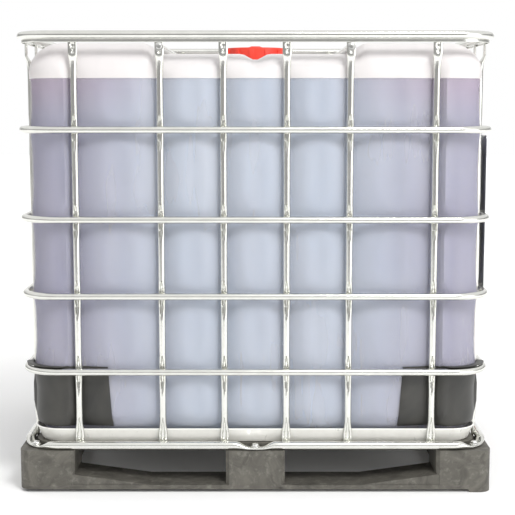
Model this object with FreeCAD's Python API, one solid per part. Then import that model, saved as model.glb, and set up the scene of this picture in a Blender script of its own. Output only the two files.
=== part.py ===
import FreeCAD, Part
import math
import os

from FreeCAD import Placement, Rotation, Vector

# Intermediate bulk container: a blow-moulded bottle in a welded tube cage, bolted to a moulded pallet.
# Millimetres. +X is the outlet side, -Y the plain long side, +Z up; the origin is the middle of the base.

# Overall size
LENGTH = 1200.0
WIDTH = 1000.0
HEIGHT = 1160.0

# Fits
FIT = 0.1  # between pieces that stand against each other
HOLE_FIT = 0.3  # a bolt or screw in a drilled hole, by the radius
THREAD_FIT = 0.05  # a screwed or turned piece in its hole, by the radius
PRESS_FIT = 0.02  # a keyed or pressed piece in its hole, by the radius
CUT_OVER = 1.0  # how far a cutting piece runs past the face it cuts

# Cage
TUBE_RADIUS = 9.0
TUBE_WALL = 1.0
RING_HEIGHTS = (918.0, 695.0, 502.0, 309.0)
RING_INSET = 11.0  # pallet edge to the middle of a ring's tube
RING_CORNER = 91.0
TOP_TUBE_RADIUS = 10.0
TOP_TUBE_WALL = 1.5
TOP_BAND_LOW = HEIGHT - 28.0
TOP_BAND_THICKNESS = 2.5
TOP_BAND_OUTER = 12.0  # pallet edge to the band's outer face
BAND_OVERLAP = 1.0  # how far the band runs up into the weld under the tube
BASE_RING_LOW = 108.0
BASE_RING_HEIGHT = 22.0
BASE_RING_DEPTH = 24.0
BASE_RING_INSET = 13.0
BASE_RING_CORNER = 88.0
BASE_RING_WALL = 1.5
SECTION_FLAT = 1.0  # half the flat left at each side of the ring's section
PRESSED_HEIGHT = 7.0  # base ring where a bolt holds it down
PRESSED_LENGTH = 56.0
PRESSED_EDGE = 4.0  # of the flat, left under the tube's ends at each end of it
PRESSED_SIDE = 0.5  # the flat is this much narrower than the tube on each side

# Uprights, by their distance from the middle of each side
LONG_SIDE_PLACES = (-448.3, -235.7, -78.7, 78.7, 235.7, 448.3)
SHORT_SIDE_PLACES = (-370.0, -228.0, -78.0, 78.0, 228.0, 370.0)
WINDOW_UPRIGHTS = (3, 4)  # on the outlet side these stop at the lowest ring
UPRIGHT_INSET = RING_INSET + 2 * TUBE_RADIUS + FIT
UPRIGHT_FLAT_WIDTH = 22.0
FOOT_THICKNESS = 5.5
FOOT_LOW = 112.0
FOOT_TOP = 150.0
FOOT_CRIMP = 30.0  # height over which the tube runs into the foot
FOOT_INNER_CRIMP = (12.0, 18.0)  # where its inner face leaves the foot and meets the tube
HEAD_THICKNESS = 6.0
HEAD_LOW = 1104.0
HEAD_CRIMP = 22.0
HEAD_INNER_CRIMP = 6.0
HEAD_GAP = 0.5  # head to the underside of the top tube
TUBE_END_PLUG = 2.0  # solid metal where a tube is crimped shut

# Crossbars over the bottle
CROSSBAR_X = 235.7
CROSSBAR_HEIGHT = 1121.0
CROSSBAR_WALL = 1.5
CROSSBAR_PLUG = 24.0
CROSSBAR_BOLT_RADIUS = 4.0
CROSSBAR_BOLT_LENGTH = 26.0
CROSSBAR_WASHER_RADIUS = 10.0
CROSSBAR_WASHER = 1.6
CROSSBAR_HEAD_RADIUS = 6.5
CROSSBAR_HEAD = 6.0

# Cage bolts
CAGE_BOLT_RADIUS = 5.0
CAGE_BOLT_DEPTH = 58.0
CAGE_WASHER_RADIUS = 11.0
CAGE_WASHER = 2.0
CAGE_HEAD_RADIUS = 9.0
CAGE_HEAD = 7.0

# Pallet
FOOT_HEIGHT = 8.0
FOOT_PAD = 60.0
PALLET_CORNER = 28.0
BLOCK_LENGTH = 140.0
BLOCK_WIDTH = 145.0
CENTRE_BLOCK = 150.0
BLOCK_WALL = 6.0
RUNNER_WIDTH = 115.0
RUNNER_TOP = 19.0
RAMP_START = 272.0
RAMP_TOP = 47.0
BOSS_RADIUS = 13.0
CAGE_BOSS_RADIUS = 12.0
DECK_LOW = BASE_RING_LOW
DECK_TOP = 120.0
DECK_SKIN = 5.0
DECK_INSET = 32.0
DECK_POCKETS = (11, 9)
DECK_RIB = 6.0
DECK_RIM = 25.0
SCREW_RADIUS = 3.0
SCREW_HEAD_RADIUS = 7.0
SCREW_LENGTH = 55.0
SCREW_RECESS = 4.0
SCREW_HEAD_LOW = 0.5  # head's top below the deck's
SCREW_HOLE_EXTRA = 2.0

# Sheet-steel tray
TRAY_TOP = 158.0
TRAY_TOP_INSET = 31.2
TRAY_FLOOR_INSET = 44.0
TRAY_SHEET = 1.2
TRAY_CORNER = 72.0
TRAY_FLOOR_CORNER = 62.0
TRAY_NOTCH_REACH = 80.0
TRAY_NOTCH_WIDTH = 130.0
TRAY_NOTCH_HEIGHT = 140.0

# Bottle
BOTTLE_LOW = DECK_TOP + TRAY_SHEET + FIT
BOTTLE_WALL = 2.5
BOTTLE_CONTACT = UPRIGHT_INSET + TUBE_RADIUS + 3.0  # pallet edge to the wall at an upright
BOTTLE_BULGE = 13.0  # how far the wall swells between two uprights
SEAT_HALF_WIDTH = 11.0  # the flat strip against each upright
BOTTLE_CORNER_INSET = 24.0
BOTTLE_CORNER = RING_INSET + RING_CORNER - BOTTLE_CORNER_INSET  # on one centre with the rings' corners
BOTTLE_TOP = 1134.0
BOTTLE_TOP_EDGE = 95.0
BOTTLE_LOW_EDGE = 80.0
ENVELOPE_CORNER = 101.0  # of the rounded block the bottle's plan is cut from
MIDDLE_TOP = 1107.0
MIDDLE_HALF_WIDTH = 262.0
STEP_RADIUS = 20.0
BASIN_FLOOR = 1092.0
BASIN_RADIUS = 112.0
CHANNEL_HALF_WIDTH = 37.0
RECESS_DEPTH = 160.0
RECESS_HALF_WIDTH = 125.0
RECESS_TOP = 322.0

# Fill neck and cap
NECK_RADIUS = 76.0
NECK_BORE = 71.5
NECK_TOP = 1128.0
FILL_GASKET = 3.0
FILL_GASKET_EDGES = (0.5, 2.5)  # how far it stands out from the neck's bore and its wall
FILL_CAP_INNER = 79.0
FILL_CAP_OUTER = 82.5
FILL_CAP_LUG = 86.0
FILL_CAP_LOW = 1098.0
FILL_CAP_TOP = 1138.0
LUG_COUNT = 12
LUG_WIDTH = 13.0
LUG_LOW = 2.0  # lug above the skirt's foot
LUG_TOP = 5.0  # and below the cap's top
LUG_TURN = -7.0
VENT_HOLE = 14.0
VENT_RADIUS = 12.5
VENT_STEM_LOW = 1126.0
VENT_HEAD = 18.0
VENT_HEAD_HEIGHT = 4.0
VENT_GRIP = (15.0, 3.0)  # half length and half width of the bar
VENT_GASKET = 2.0
VENT_GASKET_RADIUS = 17.0
VENT_TOP = 1150.0

# Outlet valve, all on one line along +X
OUTLET_HEIGHT = 190.0
OUTLET_BORE = 25.0  # the nozzle, downstream of the disc
INLET_BORE = 26.0  # the bottle's stub and the casing up to the disc
STUB_RADIUS = 31.0
STUB_LENGTH = 22.0
FLANGE_GASKET = 3.0
GASKET_BORE = 27.0
FLANGE_RADIUS = 36.0
FLANGE_THICKNESS = 7.0
BODY_RADIUS = 33.0
CHAMBER_RADIUS = 39.0
STEM_X = 510.0
CHAMBER_HALF = 20.0
SEAT_OUTER = 28.0
SEAT_INNER = 24.0
SEAT_HALF = 15.0
DISC_RADIUS = 23.6
DISC_THICKNESS = 5.0
HUB_RADIUS = 7.5
HUB_HALF = 22.0
HUB_FLOOR = 6.0  # of the hub left under the stem
STEM_RADIUS = 5.0
STEM_TOP = 255.0
NECK_BOSS_RADIUS = 13.0
NECK_BOSS_TOP = 244.0
BOSS_OVERLAP = 4.0
NOZZLE_START = 548.0
NOZZLE_END = 577.0
NOZZLE_RADIUS = 29.5
NUT_INNER = 36.4
NUT_THREAD = 31.3
NUT_OUTER = 43.0
NUT_START = 444.0
NUT_LIP = 4.0
NUT_RIBS = 8
NUT_RIB_WIDTH = 6.0
NUT_RIB_STAND = 3.0
LEVER_THICKNESS = 8.0
LEVER_HUB = 15.0
LEVER_LENGTH = 84.0
LEVER_WIDTH = 22.0
LEVER_GAP = 1.0
LEVER_SCREW_RADIUS = 9.0
LEVER_SCREW_HEIGHT = 4.0
CAP_SEAL = 2.5
CAP_SEAL_INNER = 27.0
OUTLET_CAP_INNER = 30.2
OUTLET_CAP_OUTER = 35.5
OUTLET_CAP_END = 5.0
OUTLET_CAP_START = 553.0
OUTLET_CAP_RIBS = 12
OUTLET_CAP_RIB_WIDTH = 4.0
OUTLET_CAP_RIB_STAND = 2.0

# Corner guards
GUARD_THICKNESS = 2.5
GUARD_LOW = 161.0
GUARD_TOP = 325.0
GUARD_END = 228.0  # from the pallet corner along each side
LIP_LOW = 319.0
LIP_THICKNESS = 3.0
LIP_ENDS = (134.0, 116.0)  # from the pallet corner along the long and the short side
LIP_INSET = 8.0

# Label plate on the outlet side
PLATE_LOW = 474.0
PLATE_TOP = 901.0
PLATE_NEAR = -340.0
PLATE_FAR = -40.0
PLATE_THICKNESS = 1.2
PLATE_FACE = 599.6
CLIP_WIDTH = 16.0
CLIP_SHEET = 1.0
CLIP_INSET = 22.0

SIDES = {"front": 180.0, "right": 270.0, "back": 0.0, "left": 90.0}  # turn from the back side
Z_AXIS = Vector(0, 0, 1)


def save(name, shape):
    """Write one sub-part under its node name."""
    if len(shape.Solids) == 1:
        shape = shape.Solids[0]
    shape.exportStep(os.path.join("parts", name + ".step"))


def box(low, high):
    """A box from its lowest corner to its highest."""
    size = [h - l for l, h in zip(low, high)]
    return Part.makeBox(*size, Vector(*low))


def along_z(radius, low, high, x=0.0, y=0.0):
    return Part.makeCylinder(radius, high - low, Vector(x, y, low), Z_AXIS)


def along_x(radius, start, end, y=0.0, z=OUTLET_HEIGHT):
    return Part.makeCylinder(radius, end - start, Vector(start, y, z), Vector(1, 0, 0))


def along_y(radius, start, end, x, z):
    return Part.makeCylinder(radius, end - start, Vector(x, start, z), Vector(0, 1, 0))


def joined(shapes):
    """One solid from pieces that touch or overlap."""
    first, *rest = shapes
    return first.fuse(rest).removeSplitter() if rest else first


def hexagon(radius, low, high):
    """An upright hexagonal prism, by its corner radius."""
    corners = [
        Vector(radius * math.cos(math.radians(a)), radius * math.sin(math.radians(a)), low)
        for a in range(0, 361, 60)
    ]
    return Part.Face(Part.makePolygon(corners)).extrude(Vector(0, 0, high - low))


def outline(inset, corner, z=0.0):
    """A rounded rectangle, a stated distance inside the pallet's edge, from the middle of the front."""
    half_x = LENGTH / 2 - inset
    half_y = WIDTH / 2 - inset
    diagonal = corner * (1 - math.sqrt(0.5))
    start = Vector(0, -half_y, z)
    last = start
    edges = []
    for sx, sy in ((1, -1), (1, 1), (-1, 1), (-1, -1)):
        on_long_side = Vector(sx * (half_x - corner), sy * half_y, z)
        on_short_side = Vector(sx * half_x, sy * (half_y - corner), z)
        middle = Vector(sx * (half_x - diagonal), sy * (half_y - diagonal), z)
        turns_off_long_side = sx == -sy
        begin = on_long_side if turns_off_long_side else on_short_side
        end = on_short_side if turns_off_long_side else on_long_side
        edges.append(Part.makeLine(last, begin))
        edges.append(Part.Arc(begin, middle, end).toShape())
        last = end
    edges.append(Part.makeLine(last, start))
    return Part.Wire(edges)


def slab(inset, corner, low, high):
    """A rounded rectangular block."""
    return Part.Face(outline(inset, corner, low)).extrude(Vector(0, 0, high - low))


def round_section(radius):
    """A tube's section for a path that starts along +X."""
    return lambda centre: Part.Wire(Part.makeCircle(radius, centre, Vector(1, 0, 0)))


def flat_section(depth, height):
    """A section flattened top and bottom, with round sides."""
    radius = height / 2 - SECTION_FLAT

    def at(centre):
        block = Part.makeBox(1, depth, height, centre + Vector(0, -depth / 2, -height / 2))
        long_edges = [e for e in block.Edges if abs(e.tangentAt(e.FirstParameter).x) > 0.9]
        rounded = block.makeFillet(radius, long_edges)
        face = min(rounded.Faces, key=lambda f: f.CenterOfMass.x)
        return face.OuterWire

    return at


def loop(inset, corner, z, section):
    """A closed bar that follows a rounded rectangle at height z."""
    start = Vector(0, -(WIDTH / 2 - inset), z)
    return outline(inset, corner, z).makePipeShell([section(start)], True, False)


def hollow_loop(inset, corner, z, outer, inner):
    return loop(inset, corner, z, outer).cut(loop(inset, corner, z, inner))


def on_side(shape, side, place):
    """Move a piece built for the back side's middle, its outer edge at y = 0, to a place on any side."""
    long_side = side in ("front", "back")
    reach = WIDTH / 2 if long_side else LENGTH / 2
    moved = shape.copy()
    moved.translate(Vector(0, reach, 0))
    moved.rotate(Vector(0, 0, 0), Z_AXIS, SIDES[side])
    moved.translate(Vector(place, 0, 0) if long_side else Vector(0, place, 0))
    return moved


def flattened_end(points, width):
    """A pressed tube end, from its outline seen from the side: (distance in from the edge, height)."""
    corners = [Vector(-width / 2, -inset, z) for inset, z in points]
    return Part.Face(Part.makePolygon([*corners, corners[0]])).extrude(Vector(width, 0, 0))


def upright(low_ring_stop=False):
    """A vertical tube at the middle of the back side, with flattened head and foot."""
    outer_face = UPRIGHT_INSET - TUBE_RADIUS
    inner_face = UPRIGHT_INSET + TUBE_RADIUS
    head_outer = TOP_BAND_OUTER + TOP_BAND_THICKNESS + FIT
    head_inner = head_outer + HEAD_THICKNESS
    foot_outer = BASE_RING_INSET + BASE_RING_DEPTH / 2 + 2 * FIT
    foot_inner = foot_outer + FOOT_THICKNESS
    top = HEIGHT - 2 * TOP_TUBE_RADIUS - HEAD_GAP
    tube_top = HEAD_LOW - HEAD_CRIMP
    tube_low = FOOT_TOP + FOOT_CRIMP
    leaves_foot, meets_tube = FOOT_INNER_CRIMP
    head = flattened_end(
        [
            (inner_face, tube_top),
            (outer_face, tube_top),
            (head_outer, HEAD_LOW),
            (head_outer, top),
            (head_inner, top),
            (head_inner, HEAD_LOW + HEAD_INNER_CRIMP),
        ],
        UPRIGHT_FLAT_WIDTH,
    )
    bolt_hole = along_y(CROSSBAR_BOLT_RADIUS + HOLE_FIT, -head_inner - CUT_OVER, 0, 0, CROSSBAR_HEIGHT)
    head = head.cut(bolt_hole)
    if low_ring_stop:
        low = RING_HEIGHTS[-1] - TUBE_RADIUS
        tube = along_z(TUBE_RADIUS, low, tube_top, 0, -UPRIGHT_INSET)
        bore = along_z(
            TUBE_RADIUS - TUBE_WALL, low - CUT_OVER, tube_top - TUBE_END_PLUG, 0, -UPRIGHT_INSET
        )
        return joined([tube, head]).cut(bore)
    foot = flattened_end(
        [
            (inner_face, tube_low),
            (outer_face, tube_low),
            (foot_outer, FOOT_TOP),
            (foot_outer, FOOT_LOW),
            (foot_inner, FOOT_LOW),
            (foot_inner, FOOT_TOP + leaves_foot),
            (inner_face, FOOT_TOP + meets_tube),
        ],
        UPRIGHT_FLAT_WIDTH,
    )
    tube = along_z(TUBE_RADIUS, tube_low, tube_top, 0, -UPRIGHT_INSET)
    bore = along_z(
        TUBE_RADIUS - TUBE_WALL, tube_low + TUBE_END_PLUG, tube_top - TUBE_END_PLUG, 0, -UPRIGHT_INSET
    )
    return joined([tube, head, foot]).cut(bore)


def uprights():
    """Six uprights on each side; two on the outlet side stop short to leave the valve window."""
    full = upright()
    short = upright(low_ring_stop=True)
    for side in SIDES:
        places = LONG_SIDE_PLACES if side in ("front", "back") else SHORT_SIDE_PLACES
        for number, place in enumerate(places, start=1):
            stops = side == "right" and number in WINDOW_UPRIGHTS
            yield f"upright_{side}_{number}", on_side(short if stops else full, side, place)


def cage_top_frame():
    """The top tube with the thin band that is welded under it."""
    outer = round_section(TOP_TUBE_RADIUS)
    inner = round_section(TOP_TUBE_RADIUS - TOP_TUBE_WALL)
    height = HEIGHT - TOP_TUBE_RADIUS
    corner = RING_CORNER
    band_top = HEIGHT - 2 * TOP_TUBE_RADIUS + BAND_OVERLAP
    band_corner = corner - (TOP_BAND_OUTER - RING_INSET)
    band = slab(TOP_BAND_OUTER, band_corner, TOP_BAND_LOW, band_top)
    hole = slab(
        TOP_BAND_OUTER + TOP_BAND_THICKNESS,
        band_corner - TOP_BAND_THICKNESS,
        TOP_BAND_LOW - CUT_OVER,
        band_top + CUT_OVER,
    )
    tube = loop(RING_INSET, corner, height, outer)
    return joined([tube, band.cut(hole)]).cut(loop(RING_INSET, corner, height, inner))


def cage_ring(height):
    """A horizontal tube, bent round and butt-welded."""
    return hollow_loop(
        RING_INSET, RING_CORNER, height, round_section(TUBE_RADIUS), round_section(TUBE_RADIUS - TUBE_WALL)
    )


def cage_bolt_places():
    """(x, y, turn) of each bolt through the base ring: the middle of each side and each corner."""
    half_x = LENGTH / 2 - BASE_RING_INSET
    half_y = WIDTH / 2 - BASE_RING_INSET
    corner = BASE_RING_CORNER * (1 - math.sqrt(0.5))
    places = [(0, -half_y, 0), (half_x, 0, 90), (0, half_y, 0), (-half_x, 0, 90)]
    for sx in (-1, 1):
        for sy in (-1, 1):
            places.append((sx * (half_x - corner), sy * (half_y - corner), -45 * sx * sy))
    return places


def cage_base_ring():
    """The flattened ring at the foot of the cage, pressed down and drilled where the bolts hold it."""
    middle = BASE_RING_LOW + BASE_RING_HEIGHT / 2
    wall = BASE_RING_WALL
    ring = hollow_loop(
        BASE_RING_INSET,
        BASE_RING_CORNER,
        middle,
        flat_section(BASE_RING_DEPTH, BASE_RING_HEIGHT),
        flat_section(BASE_RING_DEPTH - 2 * wall, BASE_RING_HEIGHT - 2 * wall),
    )
    pressed_top = BASE_RING_LOW + PRESSED_HEIGHT
    end = PRESSED_LENGTH / 2
    side = BASE_RING_DEPTH / 2 - PRESSED_SIDE
    for x, y, turn in cage_bolt_places():
        placement = Placement(Vector(x, y, 0), Rotation(Z_AXIS, turn))
        opening = box(
            (PRESSED_EDGE - end, -BASE_RING_DEPTH, pressed_top),
            (end - PRESSED_EDGE, BASE_RING_DEPTH, pressed_top + BASE_RING_HEIGHT),
        )
        plate = box((-end, -side, BASE_RING_LOW + 0.01), (end, side, pressed_top))
        hole = along_z(CAGE_BOLT_RADIUS + 0.5, BASE_RING_LOW - CUT_OVER, pressed_top + CUT_OVER)
        for piece in (opening, plate, hole):
            piece.Placement = placement.multiply(piece.Placement)
        ring = ring.cut(opening).fuse(plate).cut(hole)
    return ring.removeSplitter()


def cage_bolts():
    """The bolts that hold the cage to the pallet, each with its washer."""
    seat = BASE_RING_LOW + PRESSED_HEIGHT
    shank = along_z(CAGE_BOLT_RADIUS, seat - CAGE_BOLT_DEPTH, seat)
    washer = along_z(CAGE_WASHER_RADIUS, seat, seat + CAGE_WASHER)
    head = hexagon(CAGE_HEAD_RADIUS, seat + CAGE_WASHER, seat + CAGE_WASHER + CAGE_HEAD)
    bolt = joined([shank, washer, head])
    bolts = []
    for x, y, _ in cage_bolt_places():
        copy = bolt.copy()
        copy.translate(Vector(x, y, 0))
        bolts.append(copy)
    return Part.makeCompound(bolts)


def crossbar(x):
    """A tube over the bottle with a threaded plug in each end."""
    reach = WIDTH / 2 - (TOP_BAND_OUTER + TOP_BAND_THICKNESS + HEAD_THICKNESS + 2 * FIT)
    tube = along_y(TUBE_RADIUS, -reach, reach, x, CROSSBAR_HEIGHT)
    hollow = along_y(
        TUBE_RADIUS - CROSSBAR_WALL, -reach + CROSSBAR_PLUG, reach - CROSSBAR_PLUG, x, CROSSBAR_HEIGHT
    )
    thread = along_y(
        CROSSBAR_BOLT_RADIUS + THREAD_FIT, -reach - CUT_OVER, reach + CUT_OVER, x, CROSSBAR_HEIGHT
    )
    return tube.cut(hollow).cut(thread)


def crossbar_bolts():
    """A bolt and washer through the head of each upright that carries a crossbar."""
    face = -(TOP_BAND_OUTER + TOP_BAND_THICKNESS + FIT)
    start = Vector(0, face, CROSSBAR_HEIGHT)
    inward = Vector(0, -1, 0)
    outward = Vector(0, 1, 0)
    shank = Part.makeCylinder(CROSSBAR_BOLT_RADIUS, CROSSBAR_BOLT_LENGTH, start, inward)
    washer = Part.makeCylinder(CROSSBAR_WASHER_RADIUS, CROSSBAR_WASHER, start, outward)
    on_washer = start + outward * CROSSBAR_WASHER
    head = Part.makeCylinder(CROSSBAR_HEAD_RADIUS, CROSSBAR_HEAD, on_washer, outward)
    bolt = joined([shank, washer, head])
    return Part.makeCompound(
        [on_side(bolt, side, sx * CROSSBAR_X) for side in ("front", "back") for sx in (-1, 1)]
    )


def block_places():
    """(x, y, size in x, size in y) of the nine blocks."""
    corner_x = LENGTH / 2 - BLOCK_LENGTH / 2
    corner_y = WIDTH / 2 - BLOCK_WIDTH / 2
    places = []
    for x in (-corner_x, 0, corner_x):
        for y in (-corner_y, 0, corner_y):
            size_x = CENTRE_BLOCK if x == 0 else BLOCK_LENGTH
            size_y = CENTRE_BLOCK if y == 0 else BLOCK_WIDTH
            places.append((x, y, size_x, size_y))
    return places


def ramp(start, end, offset, width, turn):
    """The wedge that rises from a runner to a corner block."""
    corners = [
        Vector(start, offset - width / 2, RUNNER_TOP),
        Vector(end, offset - width / 2, RUNNER_TOP),
        Vector(end, offset - width / 2, RAMP_TOP),
    ]
    wedge = Part.Face(Part.makePolygon([*corners, corners[0]])).extrude(Vector(0, width, 0))
    wedge.rotate(Vector(0, 0, 0), Z_AXIS, turn)
    return wedge


def pallet_base():
    """The lower moulding: nine open-topped blocks on a frame of runners, with a foot at each corner."""
    top = BASE_RING_LOW
    half_x = LENGTH / 2
    half_y = WIDTH / 2
    pieces = []
    hollows = []
    bosses = []
    for x, y, size_x, size_y in block_places():
        low = (x - size_x / 2, y - size_y / 2, FOOT_HEIGHT)
        high = (x + size_x / 2, y + size_y / 2, top)
        pieces.append(box(low, high))
        inner_low = (low[0] + BLOCK_WALL, low[1] + BLOCK_WALL, RUNNER_TOP)
        inner_high = (high[0] - BLOCK_WALL, high[1] - BLOCK_WALL, top + CUT_OVER)
        hollows.append(box(inner_low, inner_high))
        bosses.append(along_z(BOSS_RADIUS, RUNNER_TOP - CUT_OVER, top, x, y))
    for x, y, _ in cage_bolt_places():
        bosses.append(along_z(CAGE_BOSS_RADIUS, RUNNER_TOP - CUT_OVER, top, x, y))
    middle_x = half_x - RUNNER_WIDTH / 2
    middle_y = half_y - RUNNER_WIDTH / 2
    for y in (-middle_y, 0, middle_y):
        pieces.append(
            box((-half_x, y - RUNNER_WIDTH / 2, FOOT_HEIGHT), (half_x, y + RUNNER_WIDTH / 2, RUNNER_TOP))
        )
    for x in (-middle_x, middle_x):
        pieces.append(
            box((x - RUNNER_WIDTH / 2, -half_y, FOOT_HEIGHT), (x + RUNNER_WIDTH / 2, half_y, RUNNER_TOP))
        )
    long_end = half_x - BLOCK_LENGTH
    short_end = half_y - BLOCK_WIDTH
    short_start = short_end - (long_end - RAMP_START)
    for turn in (0, 180):
        for y in (-middle_y, 0, middle_y):
            pieces.append(ramp(RAMP_START, long_end + 1, y, RUNNER_WIDTH, turn))
        for x in (-middle_x, middle_x):
            pieces.append(ramp(short_start, short_end + 1, x, RUNNER_WIDTH, turn + 90))
    for sx in (-1, 1):
        for sy in (-1, 1):
            x_ends = sorted((sx * half_x, sx * (half_x - FOOT_PAD)))
            y_ends = sorted((sy * half_y, sy * (half_y - FOOT_PAD)))
            pieces.append(box((x_ends[0], y_ends[0], 0), (x_ends[1], y_ends[1], FOOT_HEIGHT)))
    body = joined(pieces)
    body = body.cut(Part.makeCompound(hollows))
    body = body.fuse(bosses)
    holes = []
    for x, y, _, _ in block_places():
        hole_low = DECK_TOP - SCREW_LENGTH - SCREW_HOLE_EXTRA
        holes.append(along_z(SCREW_RADIUS + THREAD_FIT, hole_low, top + CUT_OVER, x, y))
    for x, y, _ in cage_bolt_places():
        holes.append(along_z(CAGE_BOLT_RADIUS + THREAD_FIT, top - CAGE_BOLT_DEPTH, top + CUT_OVER, x, y))
    body = body.cut(Part.makeCompound(holes))
    return body.common(slab(0, PALLET_CORNER, 0, top)).removeSplitter()


def pallet_deck():
    """The upper moulding: a thin deck with ribs under it, inside the base ring."""
    deck = slab(DECK_INSET, RING_CORNER - DECK_INSET + RING_INSET, DECK_LOW, DECK_TOP)
    count_x, count_y = DECK_POCKETS
    span_x = LENGTH - 2 * (DECK_INSET + DECK_RIM)
    span_y = WIDTH - 2 * (DECK_INSET + DECK_RIM)
    pitch_x = span_x / count_x
    pitch_y = span_y / count_y
    pockets = []
    for i in range(count_x):
        for j in range(count_y):
            x = -span_x / 2 + (i + 0.5) * pitch_x
            y = -span_y / 2 + (j + 0.5) * pitch_y
            under_block = any(
                abs(x - bx) < (sx + pitch_x) / 2 and abs(y - by) < (sy + pitch_y) / 2
                for bx, by, sx, sy in block_places()
            )
            if not under_block:
                half_x = (pitch_x - DECK_RIB) / 2
                half_y = (pitch_y - DECK_RIB) / 2
                low = (x - half_x, y - half_y, DECK_LOW - CUT_OVER)
                pockets.append(box(low, (x + half_x, y + half_y, DECK_TOP - DECK_SKIN)))
    holes = []
    for x, y, _, _ in block_places():
        above = DECK_TOP + CUT_OVER
        holes.append(along_z(SCREW_RADIUS + HOLE_FIT, DECK_LOW - CUT_OVER, above, x, y))
        holes.append(along_z(SCREW_HEAD_RADIUS + HOLE_FIT, DECK_TOP - SCREW_RECESS, above, x, y))
    return deck.cut(Part.makeCompound(pockets)).cut(Part.makeCompound(holes))


def pallet_screws():
    """The screws that hold the deck on the blocks, their heads below its top."""
    screws = []
    for x, y, _, _ in block_places():
        shank = along_z(SCREW_RADIUS, DECK_TOP - SCREW_LENGTH, DECK_TOP - SCREW_RECESS, x, y)
        head = along_z(SCREW_HEAD_RADIUS, DECK_TOP - SCREW_RECESS, DECK_TOP - SCREW_HEAD_LOW, x, y)
        screws.append(joined([shank, head]))
    return Part.makeCompound(screws)


def tray_block(extra, low, top):
    """The tray's outside, or its inside when extra is the sheet's thickness."""
    floor = outline(TRAY_FLOOR_INSET + extra, TRAY_FLOOR_CORNER, low)
    rim = outline(TRAY_TOP_INSET + extra, TRAY_CORNER, top)
    return Part.makeLoft([floor, rim], True, True)


def base_tray():
    """The pressed sheet pan under the bottle, its wall cut down where the valve passes over it."""
    outside = tray_block(0, DECK_TOP, TRAY_TOP)
    inside = tray_block(TRAY_SHEET, DECK_TOP + TRAY_SHEET, TRAY_TOP + TRAY_SHEET)
    notch = box(
        (LENGTH / 2 - TRAY_NOTCH_REACH, -TRAY_NOTCH_WIDTH / 2, TRAY_NOTCH_HEIGHT),
        (LENGTH / 2, TRAY_NOTCH_WIDTH / 2, TRAY_TOP + CUT_OVER),
    )
    return outside.cut(inside).cut(notch)


def bottle_outline(inset, z):
    """The bottle's plan: flat against each upright, swollen between them, and filling the cage's corners."""
    half_x = LENGTH / 2 - BOTTLE_CONTACT - inset
    half_y = WIDTH / 2 - BOTTLE_CONTACT - inset
    corner_x = LENGTH / 2 - BOTTLE_CORNER_INSET - inset
    corner_y = WIDTH / 2 - BOTTLE_CORNER_INSET - inset
    corner = BOTTLE_CORNER - inset
    diagonal = corner * (1 - math.sqrt(0.5))
    edges = []
    for sx, sy in ((1, -1), (1, 1), (-1, 1), (-1, -1)):
        long_seat = Vector(sx * (LONG_SIDE_PLACES[-1] + SEAT_HALF_WIDTH), sy * half_y, z)
        long_tangent = Vector(sx * (corner_x - corner), sy * corner_y, z)
        short_tangent = Vector(sx * corner_x, sy * (corner_y - corner), z)
        short_seat = Vector(sx * half_x, sy * (SHORT_SIDE_PLACES[-1] + SEAT_HALF_WIDTH), z)
        middle = Vector(sx * (corner_x - diagonal), sy * (corner_y - diagonal), z)
        edges.append(swell_out(long_seat, long_tangent, Vector(sx, 0, 0)))
        edges.append(Part.Arc(long_tangent, middle, short_tangent).toShape())
        edges.append(swell_out(short_seat, short_tangent, Vector(0, sy, 0)))
    for sign in (-1, 1):
        along = Vector(1, 0, 0)
        edges += seats_and_swells(LONG_SIDE_PLACES, along, Vector(0, sign * half_y, z), Vector(0, sign, 0))
        along = Vector(0, 1, 0)
        edges += seats_and_swells(SHORT_SIDE_PLACES, along, Vector(sign * half_x, 0, z), Vector(sign, 0, 0))
    return Part.Wire(Part.__sortEdges__(edges))


def swell_out(contact, tangent_point, direction):
    """The arc from an upright's contact point that runs into the corner, tangent to its face."""
    step = tangent_point - contact
    along = step.dot(direction)
    out = (step - direction * along).Length
    outward = (step - direction * along) / out
    radius = (along * along + out * out) / (2 * out)
    centre = tangent_point - outward * radius
    half_angle = math.atan2(along, radius - out) / 2
    middle = centre + (outward * math.cos(half_angle) - direction * math.sin(half_angle)) * radius
    return Part.Arc(contact, middle, tangent_point).toShape()


def seats_and_swells(places, along, origin, outward):
    """A flat seat at each upright and one shallow arc from each seat to the next."""
    seat = along * SEAT_HALF_WIDTH
    edges = []
    for place in places:
        at = origin + along * place
        edges.append(Part.makeLine(at - seat, at + seat))
    for place, following in zip(places, places[1:]):
        start = origin + along * place + seat
        end = origin + along * following - seat
        middle = (start + end) / 2 + outward * BOTTLE_BULGE
        edges.append(Part.Arc(start, middle, end).toShape())
    return edges


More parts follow.
